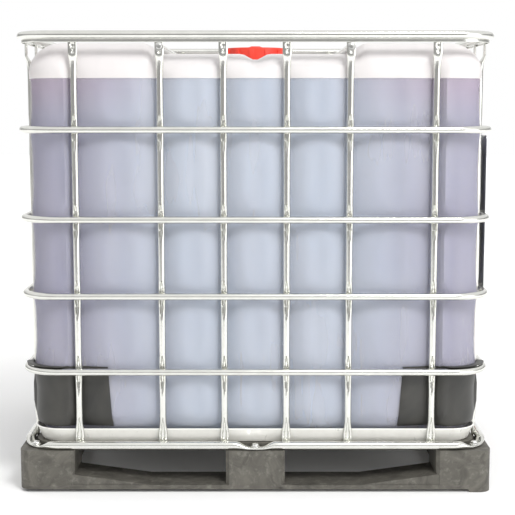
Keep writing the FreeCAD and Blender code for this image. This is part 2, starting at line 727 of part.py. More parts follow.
def bottle_block(inset):
    """The bottle's outside, or its inside when inset is the wall."""
    low = BOTTLE_LOW + inset
    top = BOTTLE_TOP - inset
    envelope = slab(BOTTLE_CORNER_INSET + inset, ENVELOPE_CORNER - inset, low, top)
    top_edges = [e for e in envelope.Edges if min(v.Z for v in e.Vertexes) > top - 1]
    envelope = envelope.makeFillet(BOTTLE_TOP_EDGE - inset, top_edges)
    low_edges = [e for e in envelope.Edges if max(v.Z for v in e.Vertexes) < low + 1]
    envelope = envelope.makeFillet(BOTTLE_LOW_EDGE - inset, low_edges)
    prism = Part.Face(bottle_outline(inset, low)).extrude(Vector(0, 0, top - low))
    body = prism.common(envelope)
    # The middle third lies lower, so that the crossbars pass over it.
    middle = box(
        (-MIDDLE_HALF_WIDTH - inset, -WIDTH, MIDDLE_TOP - inset),
        (MIDDLE_HALF_WIDTH + inset, WIDTH, HEIGHT),
    )
    basin = along_z(BASIN_RADIUS + inset, BASIN_FLOOR - inset, HEIGHT)
    channel = box(
        (-CHANNEL_HALF_WIDTH - inset, -WIDTH, BASIN_FLOOR - inset),
        (CHANNEL_HALF_WIDTH + inset, 0, HEIGHT),
    )
    recess = box(
        (LENGTH / 2 - RECESS_DEPTH - inset, -RECESS_HALF_WIDTH - inset, 0),
        (LENGTH, RECESS_HALF_WIDTH + inset, RECESS_TOP + inset),
    )
    corner_edges = [
        e
        for e in recess.Edges
        if e.CenterOfMass.x < LENGTH / 2 and abs(e.CenterOfMass.z - HEIGHT) > 1 and e.CenterOfMass.z > 100
    ]
    recess = recess.makeFillet(STEP_RADIUS, corner_edges)
    return body.cut(middle).cut(basin).cut(channel).cut(recess)


def bottle():
    """The inner container, a single blow moulding with its fill neck and outlet stub."""
    recess_face = LENGTH / 2 - RECESS_DEPTH
    shell = bottle_block(0).cut(bottle_block(BOTTLE_WALL))
    neck = along_z(NECK_RADIUS, BASIN_FLOOR - BOTTLE_WALL, NECK_TOP)
    stub = along_x(STUB_RADIUS, recess_face - BOTTLE_WALL, recess_face + STUB_LENGTH)
    shell = shell.fuse([neck, stub])
    through = 4 * BOTTLE_WALL
    shell = shell.cut(along_z(NECK_BORE, BASIN_FLOOR - through, NECK_TOP + CUT_OVER))
    return shell.cut(along_x(INLET_BORE, recess_face - through, recess_face + STUB_LENGTH + CUT_OVER))


def fill_cap():
    """The screw cap, with lugs round its skirt for the spanner."""
    plate_low = NECK_TOP + FILL_GASKET
    cap = along_z(FILL_CAP_OUTER, FILL_CAP_LOW, FILL_CAP_TOP)
    lugs = []
    for number in range(LUG_COUNT):
        lug = box(
            (FILL_CAP_INNER + CUT_OVER, -LUG_WIDTH / 2, FILL_CAP_LOW + LUG_LOW),
            (FILL_CAP_LUG, LUG_WIDTH / 2, FILL_CAP_TOP - LUG_TOP),
        )
        lug.rotate(Vector(0, 0, 0), Z_AXIS, LUG_TURN + number * 360 / LUG_COUNT)
        lugs.append(lug)
    cap = cap.fuse(lugs)
    cap = cap.cut(along_z(FILL_CAP_INNER, FILL_CAP_LOW - CUT_OVER, plate_low))
    return cap.cut(along_z(VENT_HOLE, plate_low - CUT_OVER, FILL_CAP_TOP + CUT_OVER)).removeSplitter()


def fill_cap_gasket():
    inner_edge, outer_edge = FILL_GASKET_EDGES
    top = NECK_TOP + FILL_GASKET
    outer = along_z(NECK_RADIUS + outer_edge, NECK_TOP, top)
    return outer.cut(along_z(NECK_BORE + inner_edge, NECK_TOP - CUT_OVER, top + CUT_OVER))


def vent_plug():
    """The breather plug in the middle of the cap, with a bar to turn it by."""
    seat = FILL_CAP_TOP + VENT_GASKET
    head_top = seat + VENT_HEAD_HEIGHT
    half_length, half_width = VENT_GRIP
    stem = along_z(VENT_RADIUS, VENT_STEM_LOW, seat)
    head = along_z(VENT_HEAD, seat, head_top)
    grip = box((-half_length, -half_width, head_top), (half_length, half_width, VENT_TOP))
    return joined([stem, head, grip])


def vent_plug_seal():
    top = FILL_CAP_TOP + VENT_GASKET
    outer = along_z(VENT_GASKET_RADIUS, FILL_CAP_TOP, top)
    return outer.cut(along_z(VENT_RADIUS + HOLE_FIT, FILL_CAP_TOP - CUT_OVER, top + CUT_OVER))


def outlet_start():
    """Where the valve's flange begins: the end of the stub and the gasket on it."""
    return LENGTH / 2 - RECESS_DEPTH + STUB_LENGTH + FLANGE_GASKET


def outlet_gasket():
    start = outlet_start() - FLANGE_GASKET
    return along_x(STUB_RADIUS, start, start + FLANGE_GASKET).cut(
        along_x(GASKET_BORE, start - CUT_OVER, start + FLANGE_GASKET + CUT_OVER)
    )


def valve_body():
    """The valve casing: flange, disc chamber, stem neck and the threaded nozzle."""
    start = outlet_start()
    flange = along_x(FLANGE_RADIUS, start, start + FLANGE_THICKNESS)
    pipe = along_x(BODY_RADIUS, start, NOZZLE_START)
    chamber = along_x(CHAMBER_RADIUS, STEM_X - CHAMBER_HALF, STEM_X + CHAMBER_HALF)
    nozzle = along_x(NOZZLE_RADIUS, NOZZLE_START, NOZZLE_END)
    boss_low = OUTLET_HEIGHT + CHAMBER_RADIUS - BOSS_OVERLAP
    boss = along_z(NECK_BOSS_RADIUS, boss_low, NECK_BOSS_TOP, STEM_X)
    body = joined([flange, pipe, chamber, nozzle, boss])
    body = body.cut(along_x(INLET_BORE, start - CUT_OVER, STEM_X))
    body = body.cut(along_x(OUTLET_BORE, STEM_X, NOZZLE_END + CUT_OVER))
    body = body.cut(along_x(SEAT_OUTER + PRESS_FIT, STEM_X - SEAT_HALF, STEM_X + SEAT_HALF))
    return body.cut(along_z(STEM_RADIUS + THREAD_FIT, OUTLET_HEIGHT, NECK_BOSS_TOP + CUT_OVER, STEM_X))


def valve_seat():
    """The rubber liner that the disc closes against."""
    half = SEAT_HALF - PRESS_FIT
    liner = along_x(SEAT_OUTER, STEM_X - half, STEM_X + half)
    liner = liner.cut(along_x(SEAT_INNER, STEM_X - SEAT_HALF, STEM_X + SEAT_HALF))
    return liner.cut(along_z(STEM_RADIUS + THREAD_FIT, OUTLET_HEIGHT, NECK_BOSS_TOP, STEM_X))


def valve_disc():
    """The round blade, shut across the bore, with the hub that the stem drives."""
    blade = along_x(DISC_RADIUS, STEM_X - DISC_THICKNESS / 2, STEM_X + DISC_THICKNESS / 2)
    hub = along_z(HUB_RADIUS, OUTLET_HEIGHT - HUB_HALF, OUTLET_HEIGHT + HUB_HALF, STEM_X)
    hole = along_z(STEM_RADIUS + PRESS_FIT, OUTLET_HEIGHT - HUB_HALF + HUB_FLOOR, NECK_BOSS_TOP, STEM_X)
    return joined([blade, hub]).cut(hole)


def valve_stem():
    low = OUTLET_HEIGHT - HUB_HALF + HUB_FLOOR + 2 * FIT
    return along_z(STEM_RADIUS, low, STEM_TOP, STEM_X)


def valve_lever():
    """The quarter-turn handle, shut, pointing across the flow."""
    low = NECK_BOSS_TOP + LEVER_GAP
    top = low + LEVER_THICKNESS
    hub = along_z(LEVER_HUB, low, top, STEM_X)
    half = LEVER_WIDTH / 2
    arm = box((STEM_X - half, -LEVER_LENGTH + half, low), (STEM_X + half, 0, top))
    end = along_z(half, low, top, STEM_X, -LEVER_LENGTH + half)
    hole = along_z(STEM_RADIUS + PRESS_FIT, low - CUT_OVER, top + CUT_OVER, STEM_X)
    return joined([hub, arm, end]).cut(hole)


def valve_lever_screw():
    return along_z(LEVER_SCREW_RADIUS, STEM_TOP, STEM_TOP + LEVER_SCREW_HEIGHT, STEM_X)


def grip_ribs(count, width, radius, stand, start, end):
    """Ribs round a turned piece on the outlet's line, to turn it by."""
    ribs = []
    for number in range(count):
        rib = box((start, -width / 2, radius - CUT_OVER), (end, width / 2, radius + stand))
        rib.rotate(Vector(0, 0, 0), Vector(1, 0, 0), number * 360 / count)
        rib.translate(Vector(0, 0, OUTLET_HEIGHT))
        ribs.append(rib)
    return ribs


def valve_union_nut():
    """The collar that holds the valve's flange to the bottle's stub."""
    start = outlet_start()
    end = start + FLANGE_THICKNESS + NUT_LIP
    nut = along_x(NUT_OUTER, NUT_START, end)
    nut = nut.fuse(grip_ribs(NUT_RIBS, NUT_RIB_WIDTH, NUT_OUTER, NUT_RIB_STAND, NUT_START, end))
    nut = nut.cut(along_x(NUT_THREAD, NUT_START - CUT_OVER, start))
    nut = nut.cut(along_x(NUT_INNER, start - 5 * FIT, start + FLANGE_THICKNESS + FIT))
    return nut.cut(along_x(BODY_RADIUS + HOLE_FIT, start, end + CUT_OVER)).removeSplitter()


def outlet_cap():
    """The dust cap on the nozzle, with grip ribs."""
    face = NOZZLE_END + CAP_SEAL
    end = face + OUTLET_CAP_END
    cap = along_x(OUTLET_CAP_OUTER, OUTLET_CAP_START, end)
    ribs = grip_ribs(
        OUTLET_CAP_RIBS,
        OUTLET_CAP_RIB_WIDTH,
        OUTLET_CAP_OUTER,
        OUTLET_CAP_RIB_STAND,
        OUTLET_CAP_START,
        end - OUTLET_CAP_RIB_STAND,
    )
    return cap.fuse(ribs).cut(along_x(OUTLET_CAP_INNER, OUTLET_CAP_START - CUT_OVER, face)).removeSplitter()


def outlet_cap_seal():
    seal = along_x(NOZZLE_RADIUS, NOZZLE_END, NOZZLE_END + CAP_SEAL)
    return seal.cut(along_x(CAP_SEAL_INNER, NOZZLE_END - CUT_OVER, NOZZLE_END + CAP_SEAL + CUT_OVER))


def corner_guard(sx, sy):
    """A dark plastic sheet between the bottle's corner and the cage, with a lip over the lowest ring."""
    rise = Vector(0, 0, GUARD_TOP - GUARD_LOW)
    over = Vector(0, 0, CUT_OVER)
    outer = Part.Face(bottle_outline(-FIT - GUARD_THICKNESS, GUARD_LOW)).extrude(rise)
    inner = Part.Face(bottle_outline(-FIT, GUARD_LOW - CUT_OVER)).extrude(rise + over + over)
    corner_x = LENGTH / 2 - GUARD_END
    corner_y = WIDTH / 2 - GUARD_END
    near = box((corner_x, corner_y, 0), (LENGTH, WIDTH, HEIGHT))
    lip_corner = RING_CORNER + RING_INSET - LIP_INSET
    lip = slab(LIP_INSET, lip_corner, LIP_LOW, LIP_LOW + LIP_THICKNESS)
    along_long, along_short = LIP_ENDS
    lip_zone = box((LENGTH / 2 - along_long, WIDTH / 2 - along_short, 0), (LENGTH, WIDTH, HEIGHT))
    wall = outer.common(near).cut(inner)
    shelf = lip.common(lip_zone).cut(inner)
    guard = joined([wall, shelf])
    matrix = FreeCAD.Matrix()
    matrix.scale(sx, sy, 1)
    return guard.transformGeometry(matrix) if sx * sy < 0 else turned(guard, sx)


def turned(shape, sx):
    """The shape itself, or turned half round."""
    copy = shape.copy()
    if sx < 0:
        copy.rotate(Vector(0, 0, 0), Z_AXIS, 180)
    return copy


def label_plate():
    """A plain sheet plate that hangs on the rings of the outlet side."""
    return box((PLATE_FACE - PLATE_THICKNESS, PLATE_NEAR, PLATE_LOW), (PLATE_FACE, PLATE_FAR, PLATE_TOP))


def label_plate_clips():
    """Sprung bands that hook round the rings from behind and end at the plate."""
    ring_x = LENGTH / 2 - RING_INSET
    back = PLATE_FACE - PLATE_THICKNESS
    inner = TUBE_RADIUS + FIT
    outer = inner + CLIP_SHEET
    clips = []
    for z in RING_HEIGHTS[1:3]:
        for y in (PLATE_NEAR + CLIP_INSET, PLATE_FAR - CLIP_INSET):
            near = y - CLIP_WIDTH / 2
            far = y + CLIP_WIDTH / 2
            bend = along_y(outer, near, far, ring_x, z).cut(along_y(inner, near, far, ring_x, z))
            reach = outer + CUT_OVER
            bend = bend.cut(box((ring_x, near - CUT_OVER, z - reach), (LENGTH, far + CUT_OVER, z + reach)))
            upper = box((ring_x, near, z + inner), (back, far, z + outer))
            lower = box((ring_x, near, z - outer), (back, far, z - inner))
            clips.append(joined([bend, upper, lower]))
    return Part.makeCompound(clips)


def parts():
    """Every node's name and shape."""
    yield "cage_top_frame", cage_top_frame()
    for number, height in enumerate(RING_HEIGHTS, start=1):
        yield f"cage_ring_{number}", cage_ring(height)
    yield "cage_base_ring", cage_base_ring()
    yield "cage_bolts", cage_bolts()
    yield from uprights()
    yield "crossbar_left", crossbar(-CROSSBAR_X)
    yield "crossbar_right", crossbar(CROSSBAR_X)
    yield "crossbar_bolts", crossbar_bolts()
    yield "pallet_base", pallet_base()
    yield "pallet_deck", pallet_deck()
    yield "pallet_screws", pallet_screws()
    yield "base_tray", base_tray()
    yield "bottle", bottle()
    yield "fill_cap", fill_cap()
    yield "fill_cap_gasket", fill_cap_gasket()
    yield "vent_plug", vent_plug()
    yield "vent_plug_seal", vent_plug_seal()
    yield "outlet_gasket", outlet_gasket()
    yield "valve_union_nut", valve_union_nut()
    yield "valve_body", valve_body()
    yield "valve_seat", valve_seat()
    yield "valve_disc", valve_disc()
    yield "valve_stem", valve_stem()
    yield "valve_lever", valve_lever()
    yield "valve_lever_screw", valve_lever_screw()
    yield "outlet_cap", outlet_cap()
    yield "outlet_cap_seal", outlet_cap_seal()
    for name, sx, sy in (
        ("corner_guard_front_left", -1, -1),
        ("corner_guard_front_right", 1, -1),
        ("corner_guard_back_left", -1, 1),
        ("corner_guard_back_right", 1, 1),
    ):
        yield name, corner_guard(sx, sy)
    yield "label_plate", label_plate()
    yield "label_plate_clips", label_plate_clips()


os.makedirs("parts", exist_ok=True)
for name, shape in parts():
    save(name, shape)
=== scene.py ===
import math

import bmesh
import bpy
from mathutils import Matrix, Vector


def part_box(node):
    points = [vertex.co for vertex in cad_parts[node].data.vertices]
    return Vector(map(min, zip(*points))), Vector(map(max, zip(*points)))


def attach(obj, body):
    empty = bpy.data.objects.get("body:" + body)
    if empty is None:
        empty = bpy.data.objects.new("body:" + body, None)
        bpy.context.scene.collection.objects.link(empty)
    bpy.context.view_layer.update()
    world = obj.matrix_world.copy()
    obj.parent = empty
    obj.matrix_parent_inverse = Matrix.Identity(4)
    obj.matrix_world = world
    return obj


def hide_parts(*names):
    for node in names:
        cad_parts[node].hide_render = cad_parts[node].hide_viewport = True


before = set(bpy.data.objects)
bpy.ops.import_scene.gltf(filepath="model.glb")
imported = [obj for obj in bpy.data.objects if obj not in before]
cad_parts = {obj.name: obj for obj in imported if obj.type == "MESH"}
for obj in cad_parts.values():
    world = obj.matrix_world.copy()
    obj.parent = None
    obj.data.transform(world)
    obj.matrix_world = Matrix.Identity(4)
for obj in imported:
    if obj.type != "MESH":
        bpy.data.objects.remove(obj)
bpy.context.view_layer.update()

# ---------------------------------------------------------------------------------------------
# Pallet. A dark, warm grey moulding of recycled plastic: nine blocks on flat runners, with ramps
# that rise to the corner blocks and a low foot under each corner. The runners, ramps and blocks
# are one moulding, so they are made one skin here and their edges are worn a little paler.
# ---------------------------------------------------------------------------------------------
PALLET_LENGTH = 1.2
PALLET_WIDTH = 1.0
PALLET_CORNER = 0.028
FOOT_HEIGHT = 0.008
FOOT_PAD = 0.060
FOOT_STEP = 0.005
FOOT_IN_RUNNER = 0.004
RUNNER_TOP = 0.019
RUNNER_WIDTH = 0.115
BLOCK_TOP = 0.108
BLOCK_LENGTH = 0.140
BLOCK_WIDTH = 0.145
CENTRE_BLOCK = 0.150
BLOCK_CHAMFER = 0.009
RAMP_TOP = 0.047
RAMP_RUN = 0.188
RAMP_SET_IN = 0.0020
RAMP_IN_BLOCK = 0.012
RAMP_END = 0.0004
EDGE_WEAR = 0.0026


def everything(*place):
    return True


def take(piece):
    """Make a piece the only one selected, and the active one."""
    bpy.ops.object.select_all(action="DESELECT")
    piece.select_set(True)
    bpy.context.view_layer.objects.active = piece


def pick(piece, mode, test):
    """Open a piece in edit mode with only the corners, edges or faces that pass the test selected."""
    bpy.context.view_layer.objects.active = piece
    piece.select_set(True)
    bpy.ops.object.mode_set(mode="EDIT")
    bpy.ops.mesh.select_mode(type=mode)
    bpy.ops.mesh.select_all(action="DESELECT")
    shape = bmesh.from_edit_mesh(piece.data)
    if mode == "VERT":
        chosen = [corner for corner in shape.verts if test(corner.co)]
    elif mode == "EDGE":
        chosen = [edge for edge in shape.edges if test(edge.verts[0].co, edge.verts[1].co)]
    else:
        chosen = [face for face in shape.faces if test(face.calc_center_median(), face.normal)]
    for part in chosen:
        part.select_set(True)
    shape.select_flush_mode()
    bmesh.update_edit_mesh(piece.data)
    return len(chosen)


def leave_edit():
    bpy.ops.object.mode_set(mode="OBJECT")


def face_outwards():
    """Turn every face of the piece in edit mode outwards, and leave edit mode."""
    bpy.ops.mesh.select_all(action="SELECT")
    bpy.ops.mesh.normals_make_consistent(inside=False)
    leave_edit()


def set_down(name):
    """Name the object just added and put its place, turn and size into its mesh."""
    piece = bpy.context.object
    piece.name = name
    piece.data.name = name
    bpy.ops.object.transform_apply(location=True, rotation=True, scale=True)
    return piece


def new_block(name, low, high):
    """A plain block between two opposite corners, as the start of a piece."""
    bpy.ops.object.select_all(action="DESELECT")
    middle = [(l + h) / 2 for l, h in zip(low, high)]
    size = [h - l for l, h in zip(low, high)]
    bpy.ops.mesh.primitive_cube_add(size=1, location=middle, scale=size)
    return set_down(name)


def upright_edge(a, b):
    return abs(a.x - b.x) < 1e-5 and abs(a.y - b.y) < 1e-5 and abs(a.z - b.z) > 1e-4


def join_pieces(pieces, name):
    """One object from several."""
    bpy.ops.object.select_all(action="DESELECT")
    for piece in pieces:
        piece.select_set(True)
    bpy.context.view_layer.objects.active = pieces[0]
    if len(pieces) > 1:
        bpy.ops.object.join()
    joined = bpy.context.object
    joined.name = name
    joined.data.name = name
    return joined


def unite(piece, others, operation="UNION"):
    """Weld other closed shapes into a piece, or cut them out of it."""
    for other in others:
        take(piece)
        weld = piece.modifiers.new(operation, "BOOLEAN")
        weld.operation = operation
        weld.solver = "EXACT"
        weld.object = other
        bpy.ops.object.modifier_apply(modifier=weld.name)
        bpy.data.objects.remove(other)
    return piece


def copy_of(piece):
    """A copy of a piece, with a mesh of its own."""
    take(piece)
    bpy.ops.object.duplicate()
    return bpy.context.object


def soften_edges(piece, width, segments=2, angle=35, worn_slot=-1):
    """Round every sharp edge of a piece by a small bevel and shade it smooth."""
    take(piece)
    bevel = piece.modifiers.new("edges", "BEVEL")
    bevel.width = width
    bevel.segments = segments
    bevel.limit_method = "ANGLE"
    bevel.angle_limit = math.radians(angle)
    bevel.material = worn_slot
    bpy.ops.object.modifier_apply(modifier=bevel.name)
    bpy.ops.object.shade_smooth_by_angle(angle=math.radians(40))


def hand_over(piece, body, slot, nodes, *finishes):
    """Give a piece its finish, let it ride on its body and stand for its CAD nodes."""
    while len(piece.data.materials) < len(finishes):
        piece.data.materials.append(None)
    for number, finish in enumerate(finishes):
        piece.data.materials[number] = finish
    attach(piece, body)
    if nodes:
        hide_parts(*nodes)


def keep_solid(name, finish):
    """Keep a CAD node's own solid and give it a finish."""
    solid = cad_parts[name]
    solid.data.materials.clear()
    solid.data.materials.append(finish)


def pallet_finish(name, dark, light, wear):
    """Recycled plastic: a dark base with pale flow swirls, fine scuffs and a matt, slightly uneven skin."""
    finish = bpy.data.materials.new(name)
    finish.use_nodes = True
    nodes = finish.node_tree.nodes
    links = finish.node_tree.links
    nodes.clear()

    place = nodes.new("ShaderNodeTexCoord")
    place.label = "Place on the moulding"
    place.location = (-1700, 0)

    swirl_frame = nodes.new("NodeFrame")
    swirl_frame.label = "Flow swirls from mixed scrap"
    bend = nodes.new("ShaderNodeTexNoise")
    bend.label = "How the melt wandered"
    bend.location = (-1450, 260)
    bend.parent = swirl_frame
    bend.inputs["Scale"].default_value = 5.0
    bend.inputs["Detail"].default_value = 3.0
    bend.inputs["Roughness"].default_value = 0.5
    drift = nodes.new("ShaderNodeVectorMath")
    drift.label = "Strength of the wander"
    drift.operation = "MULTIPLY_ADD"
    drift.location = (-1240, 260)
    drift.parent = swirl_frame
    drift.inputs[1].default_value = (0.22, 0.22, 0.22)
    streaks = nodes.new("ShaderNodeTexNoise")
    streaks.label = "Pale streaks"
    streaks.location = (-1030, 260)
    streaks.parent = swirl_frame
    streaks.inputs["Scale"].default_value = 17.0
    streaks.inputs["Detail"].default_value = 6.0
    streaks.inputs["Roughness"].default_value = 0.62
    streaks.inputs["Distortion"].default_value = 1.2
    streak_tone = nodes.new("ShaderNodeValToRGB")
    streak_tone.label = "Dark melt to pale streak"
    streak_tone.location = (-820, 260)
    streak_tone.parent = swirl_frame
    streak_tone.color_ramp.elements[0].position = 0.34
    streak_tone.color_ramp.elements[0].color = (*dark, 1)
    streak_tone.color_ramp.elements[1].position = 0.74
    streak_tone.color_ramp.elements[1].color = (*light, 1)

    scuff_frame = nodes.new("NodeFrame")
    scuff_frame.label = "Scuffs and dust"
    scuffs = nodes.new("ShaderNodeTexNoise")
    scuffs.label = "Scuffed patches"
    scuffs.location = (-1030, -120)
    scuffs.parent = scuff_frame
    scuffs.inputs["Scale"].default_value = 46.0
    scuffs.inputs["Detail"].default_value = 8.0
    scuffs.inputs["Roughness"].default_value = 0.7
    scuff_mask = nodes.new("ShaderNodeMapRange")
    scuff_mask.label = "Only the worst scuffs"
    scuff_mask.location = (-820, -120)
    scuff_mask.parent = scuff_frame
    scuff_mask.inputs["From Min"].default_value = 0.52
    scuff_mask.inputs["From Max"].default_value = 0.78
    scuff_mask.inputs["To Max"].default_value = 0.75
    scuffed = nodes.new("ShaderNodeMix")
    scuffed.label = "Scuffs over the melt"
    scuffed.data_type = "RGBA"
    scuffed.location = (-560, 160)
    scuffed.parent = scuff_frame
    scuffed.inputs[7].default_value = (*wear, 1)

    skin_frame = nodes.new("NodeFrame")
    skin_frame.label = "Moulded skin"
    grain = nodes.new("ShaderNodeTexNoise")
    grain.label = "Fine orange peel"
    grain.location = (-1030, -460)
    grain.parent = skin_frame
    grain.inputs["Scale"].default_value = 420.0
    grain.inputs["Detail"].default_value = 3.0
    ripple = nodes.new("ShaderNodeTexNoise")
    ripple.label = "Broad sink marks"
    ripple.location = (-1030, -700)
    ripple.parent = skin_frame
    ripple.inputs["Scale"].default_value = 14.0
    ripple.inputs["Detail"].default_value = 2.0
    skin = nodes.new("ShaderNodeMath")
    skin.label = "Sink marks with the peel"
    skin.operation = "MULTIPLY_ADD"
    skin.location = (-800, -560)
    skin.parent = skin_frame
    skin.inputs[1].default_value = 0.12
    relief = nodes.new("ShaderNodeBump")
    relief.label = "Raise the skin"
    relief.location = (-560, -480)
    relief.parent = skin_frame
    relief.inputs["Strength"].default_value = 0.35
    relief.inputs["Distance"].default_value = 0.003
    sheen = nodes.new("ShaderNodeMapRange")
    sheen.label = "Duller where scuffed"
    sheen.location = (-560, -180)
    sheen.parent = skin_frame
    sheen.inputs["To Min"].default_value = 0.42
    sheen.inputs["To Max"].default_value = 0.68

    surface = nodes.new("ShaderNodeBsdfPrincipled")
    surface.label = "Recycled plastic"
    surface.location = (-280, 100)
    surface.inputs["IOR"].default_value = 1.5
    surface.inputs["Specular IOR Level"].default_value = 0.45
    output = nodes.new("ShaderNodeOutputMaterial")
    output.label = "Out"
    output.location = (40, 100)

    links.new(place.outputs["Object"], bend.inputs["Vector"])
    links.new(bend.outputs["Color"], drift.inputs[0])
    links.new(place.outputs["Object"], drift.inputs[2])
    links.new(drift.outputs["Vector"], streaks.inputs["Vector"])
    links.new(streaks.outputs["Fac"], streak_tone.inputs["Fac"])
    links.new(place.outputs["Object"], scuffs.inputs["Vector"])
    links.new(scuffs.outputs["Fac"], scuff_mask.inputs["Value"])
    links.new(scuff_mask.outputs["Result"], scuffed.inputs[0])
    links.new(streak_tone.outputs["Color"], scuffed.inputs[6])
    links.new(place.outputs["Object"], grain.inputs["Vector"])
    links.new(place.outputs["Object"], ripple.inputs["Vector"])
    links.new(grain.outputs["Fac"], skin.inputs[0])
    links.new(ripple.outputs["Fac"], skin.inputs[2])
    links.new(skin.outputs["Value"], relief.inputs["Height"])
    links.new(scuffs.outputs["Fac"], sheen.inputs["Value"])
    links.new(scuffed.outputs[2], surface.inputs["Base Color"])
    links.new(sheen.outputs["Result"], surface.inputs["Roughness"])
    links.new(relief.outputs["Normal"], surface.inputs["Normal"])
    links.new(surface.outputs["BSDF"], output.inputs["Surface"])
    return finish


# The runners: a flat frame all round, and one across the middle.
bpy.ops.object.select_all(action="DESELECT")
bpy.ops.mesh.primitive_plane_add(size=1, location=(0, 0, FOOT_HEIGHT))
pallet = bpy.context.object
pallet.scale = (PALLET_LENGTH, PALLET_WIDTH, 1)
set_down("pallet_moulding")
pick(pallet, "FACE", everything)
bpy.ops.mesh.inset(thickness=RUNNER_WIDTH)
bpy.ops.mesh.delete(type="FACE")
bpy.ops.mesh.select_all(action="SELECT")
bpy.ops.mesh.extrude_region_move(TRANSFORM_OT_translate={"value": (0, 0, RUNNER_TOP - FOOT_HEIGHT)})
face_outwards()


def outer_corner_edge(a, b):
    return upright_edge(a, b) and abs(a.x) > PALLET_LENGTH / 2 - 1e-4 and abs(a.y) > PALLET_WIDTH / 2 - 1e-4


def round_pallet_corners(piece):
    """Round the upright edges of a piece that lie at the pallet's own corners."""
    pick(piece, "EDGE", outer_corner_edge)
    bpy.ops.mesh.bevel(offset=PALLET_CORNER, segments=6, affect="EDGES")
    leave_edit()


round_pallet_corners(pallet)
middle_x = (PALLET_LENGTH - RUNNER_WIDTH) / 2
middle_y = (PALLET_WIDTH - RUNNER_WIDTH) / 2
runner_end = PALLET_LENGTH / 2 - RUNNER_WIDTH / 2
pallet_parts = [
    new_block(
        "middle_runner",
        (-runner_end, -RUNNER_WIDTH / 2, FOOT_HEIGHT),
        (runner_end, RUNNER_WIDTH / 2, RUNNER_TOP),
    )
]

# The blocks: square at the outside of the pallet, chamfered where the forks pass.
for x_side in (-1, 0, 1):
    for y_side in (-1, 0, 1):
        length = BLOCK_LENGTH if x_side else CENTRE_BLOCK
        width = BLOCK_WIDTH if y_side else CENTRE_BLOCK
        x = x_side * (PALLET_LENGTH - length) / 2
        y = y_side * (PALLET_WIDTH - width) / 2
        block = new_block(
            "block",
            (x - length / 2, y - width / 2, FOOT_HEIGHT),
            (x + length / 2, y + width / 2, BLOCK_TOP),
        )
        round_pallet_corners(block)
        pick(
            block,
            "EDGE",
            lambda a, b: upright_edge(a, b)
            and abs(a.x) < PALLET_LENGTH / 2 - 0.05
            and abs(a.y) < PALLET_WIDTH / 2 + 0.01,
        )
        bpy.ops.mesh.bevel(offset=BLOCK_CHAMFER, segments=1, affect="EDGES")
        leave_edit()
        pallet_parts.append(block)


def ramp(block_face, across, turn):
    """A wedge that rises from the runner to a block, its low end thinned down to the runner."""
    start = block_face - RAMP_RUN
    half_width = RUNNER_WIDTH / 2 - RAMP_SET_IN
    low = FOOT_HEIGHT + RAMP_SET_IN
    wedge = new_block(
        "ramp", (start, across - half_width, low), (block_face + RAMP_IN_BLOCK, across + half_width, RAMP_TOP)
    )
    pick(wedge, "VERT", lambda corner: corner.x < start + 1e-4 and corner.z > RUNNER_TOP)
    bpy.ops.transform.translate(value=(0, 0, RUNNER_TOP + RAMP_END - RAMP_TOP))
    leave_edit()
    wedge.rotation_euler = (0, 0, math.radians(turn))
    bpy.ops.object.transform_apply(location=False, rotation=True, scale=False)
    return wedge


long_block_face = PALLET_LENGTH / 2 - BLOCK_LENGTH
short_block_face = PALLET_WIDTH / 2 - BLOCK_WIDTH
for turn in (0, 180):
    for y in (-middle_y, 0, middle_y):
        pallet_parts.append(ramp(long_block_face, y, turn))
    for x in (-middle_x, middle_x):
        pallet_parts.append(ramp(short_block_face, x, turn + 90))

# A low foot under each corner, stepped back at its inner sides.
for x_side in (-1, 1):
    for y_side in (-1, 1):
        x_ends = sorted((x_side * PALLET_LENGTH / 2, x_side * (PALLET_LENGTH / 2 - FOOT_PAD)))
        y_ends = sorted((y_side * PALLET_WIDTH / 2, y_side * (PALLET_WIDTH / 2 - FOOT_PAD)))
        foot = new_block(
            "foot", (x_ends[0], y_ends[0], 0), (x_ends[1], y_ends[1], FOOT_HEIGHT + FOOT_IN_RUNNER)
        )
        round_pallet_corners(foot)
        pick(foot, "VERT", lambda corner: corner.z < 1e-5 and abs(corner.x) < PALLET_LENGTH / 2 - 0.05)
        bpy.ops.transform.translate(value=(x_side * FOOT_STEP, 0, 0))
        leave_edit()
        pick(foot, "VERT", lambda corner: corner.z < 1e-5 and abs(corner.y) < PALLET_WIDTH / 2 - 0.05)
        bpy.ops.transform.translate(value=(0, y_side * FOOT_STEP, 0))
        leave_edit()
        pallet_parts.append(foot)

unite(pallet, pallet_parts)
pick(pallet, "FACE", everything)
bpy.ops.mesh.remove_doubles(threshold=0.0002)
bpy.ops.mesh.dissolve_limited(angle_limit=math.radians(1))
leave_edit()
soften_edges(pallet, EDGE_WEAR, segments=2, angle=30, worn_slot=1)
pallet_plastic = pallet_finish(
    "pallet_plastic", (0.066, 0.062, 0.052), (0.150, 0.141, 0.120), (0.26, 0.25, 0.22)
)
worn_plastic = pallet_finish(
    "pallet_plastic_worn", (0.17, 0.165, 0.145), (0.34, 0.33, 0.29), (0.42, 0.40, 0.36)
)
hand_over(pallet, "container", "pallet_plastic", ["pallet_base"], pallet_plastic, worn_plastic)

# ---------------------------------------------------------------------------------------------
# Deck. The upper moulding of the pallet, of the same plastic, screwed down to the blocks inside
# the foot of the cage. The tray covers it, so its own solid is kept and only gets the finish.
# ---------------------------------------------------------------------------------------------
keep_solid("pallet_deck", pallet_plastic)

# ---------------------------------------------------------------------------------------------
# Screws. Zinc plated, driven down through the deck into the blocks. They lie under the tray, so
# their own solids are kept; the same finish goes on the bolts of the cage.
# ---------------------------------------------------------------------------------------------


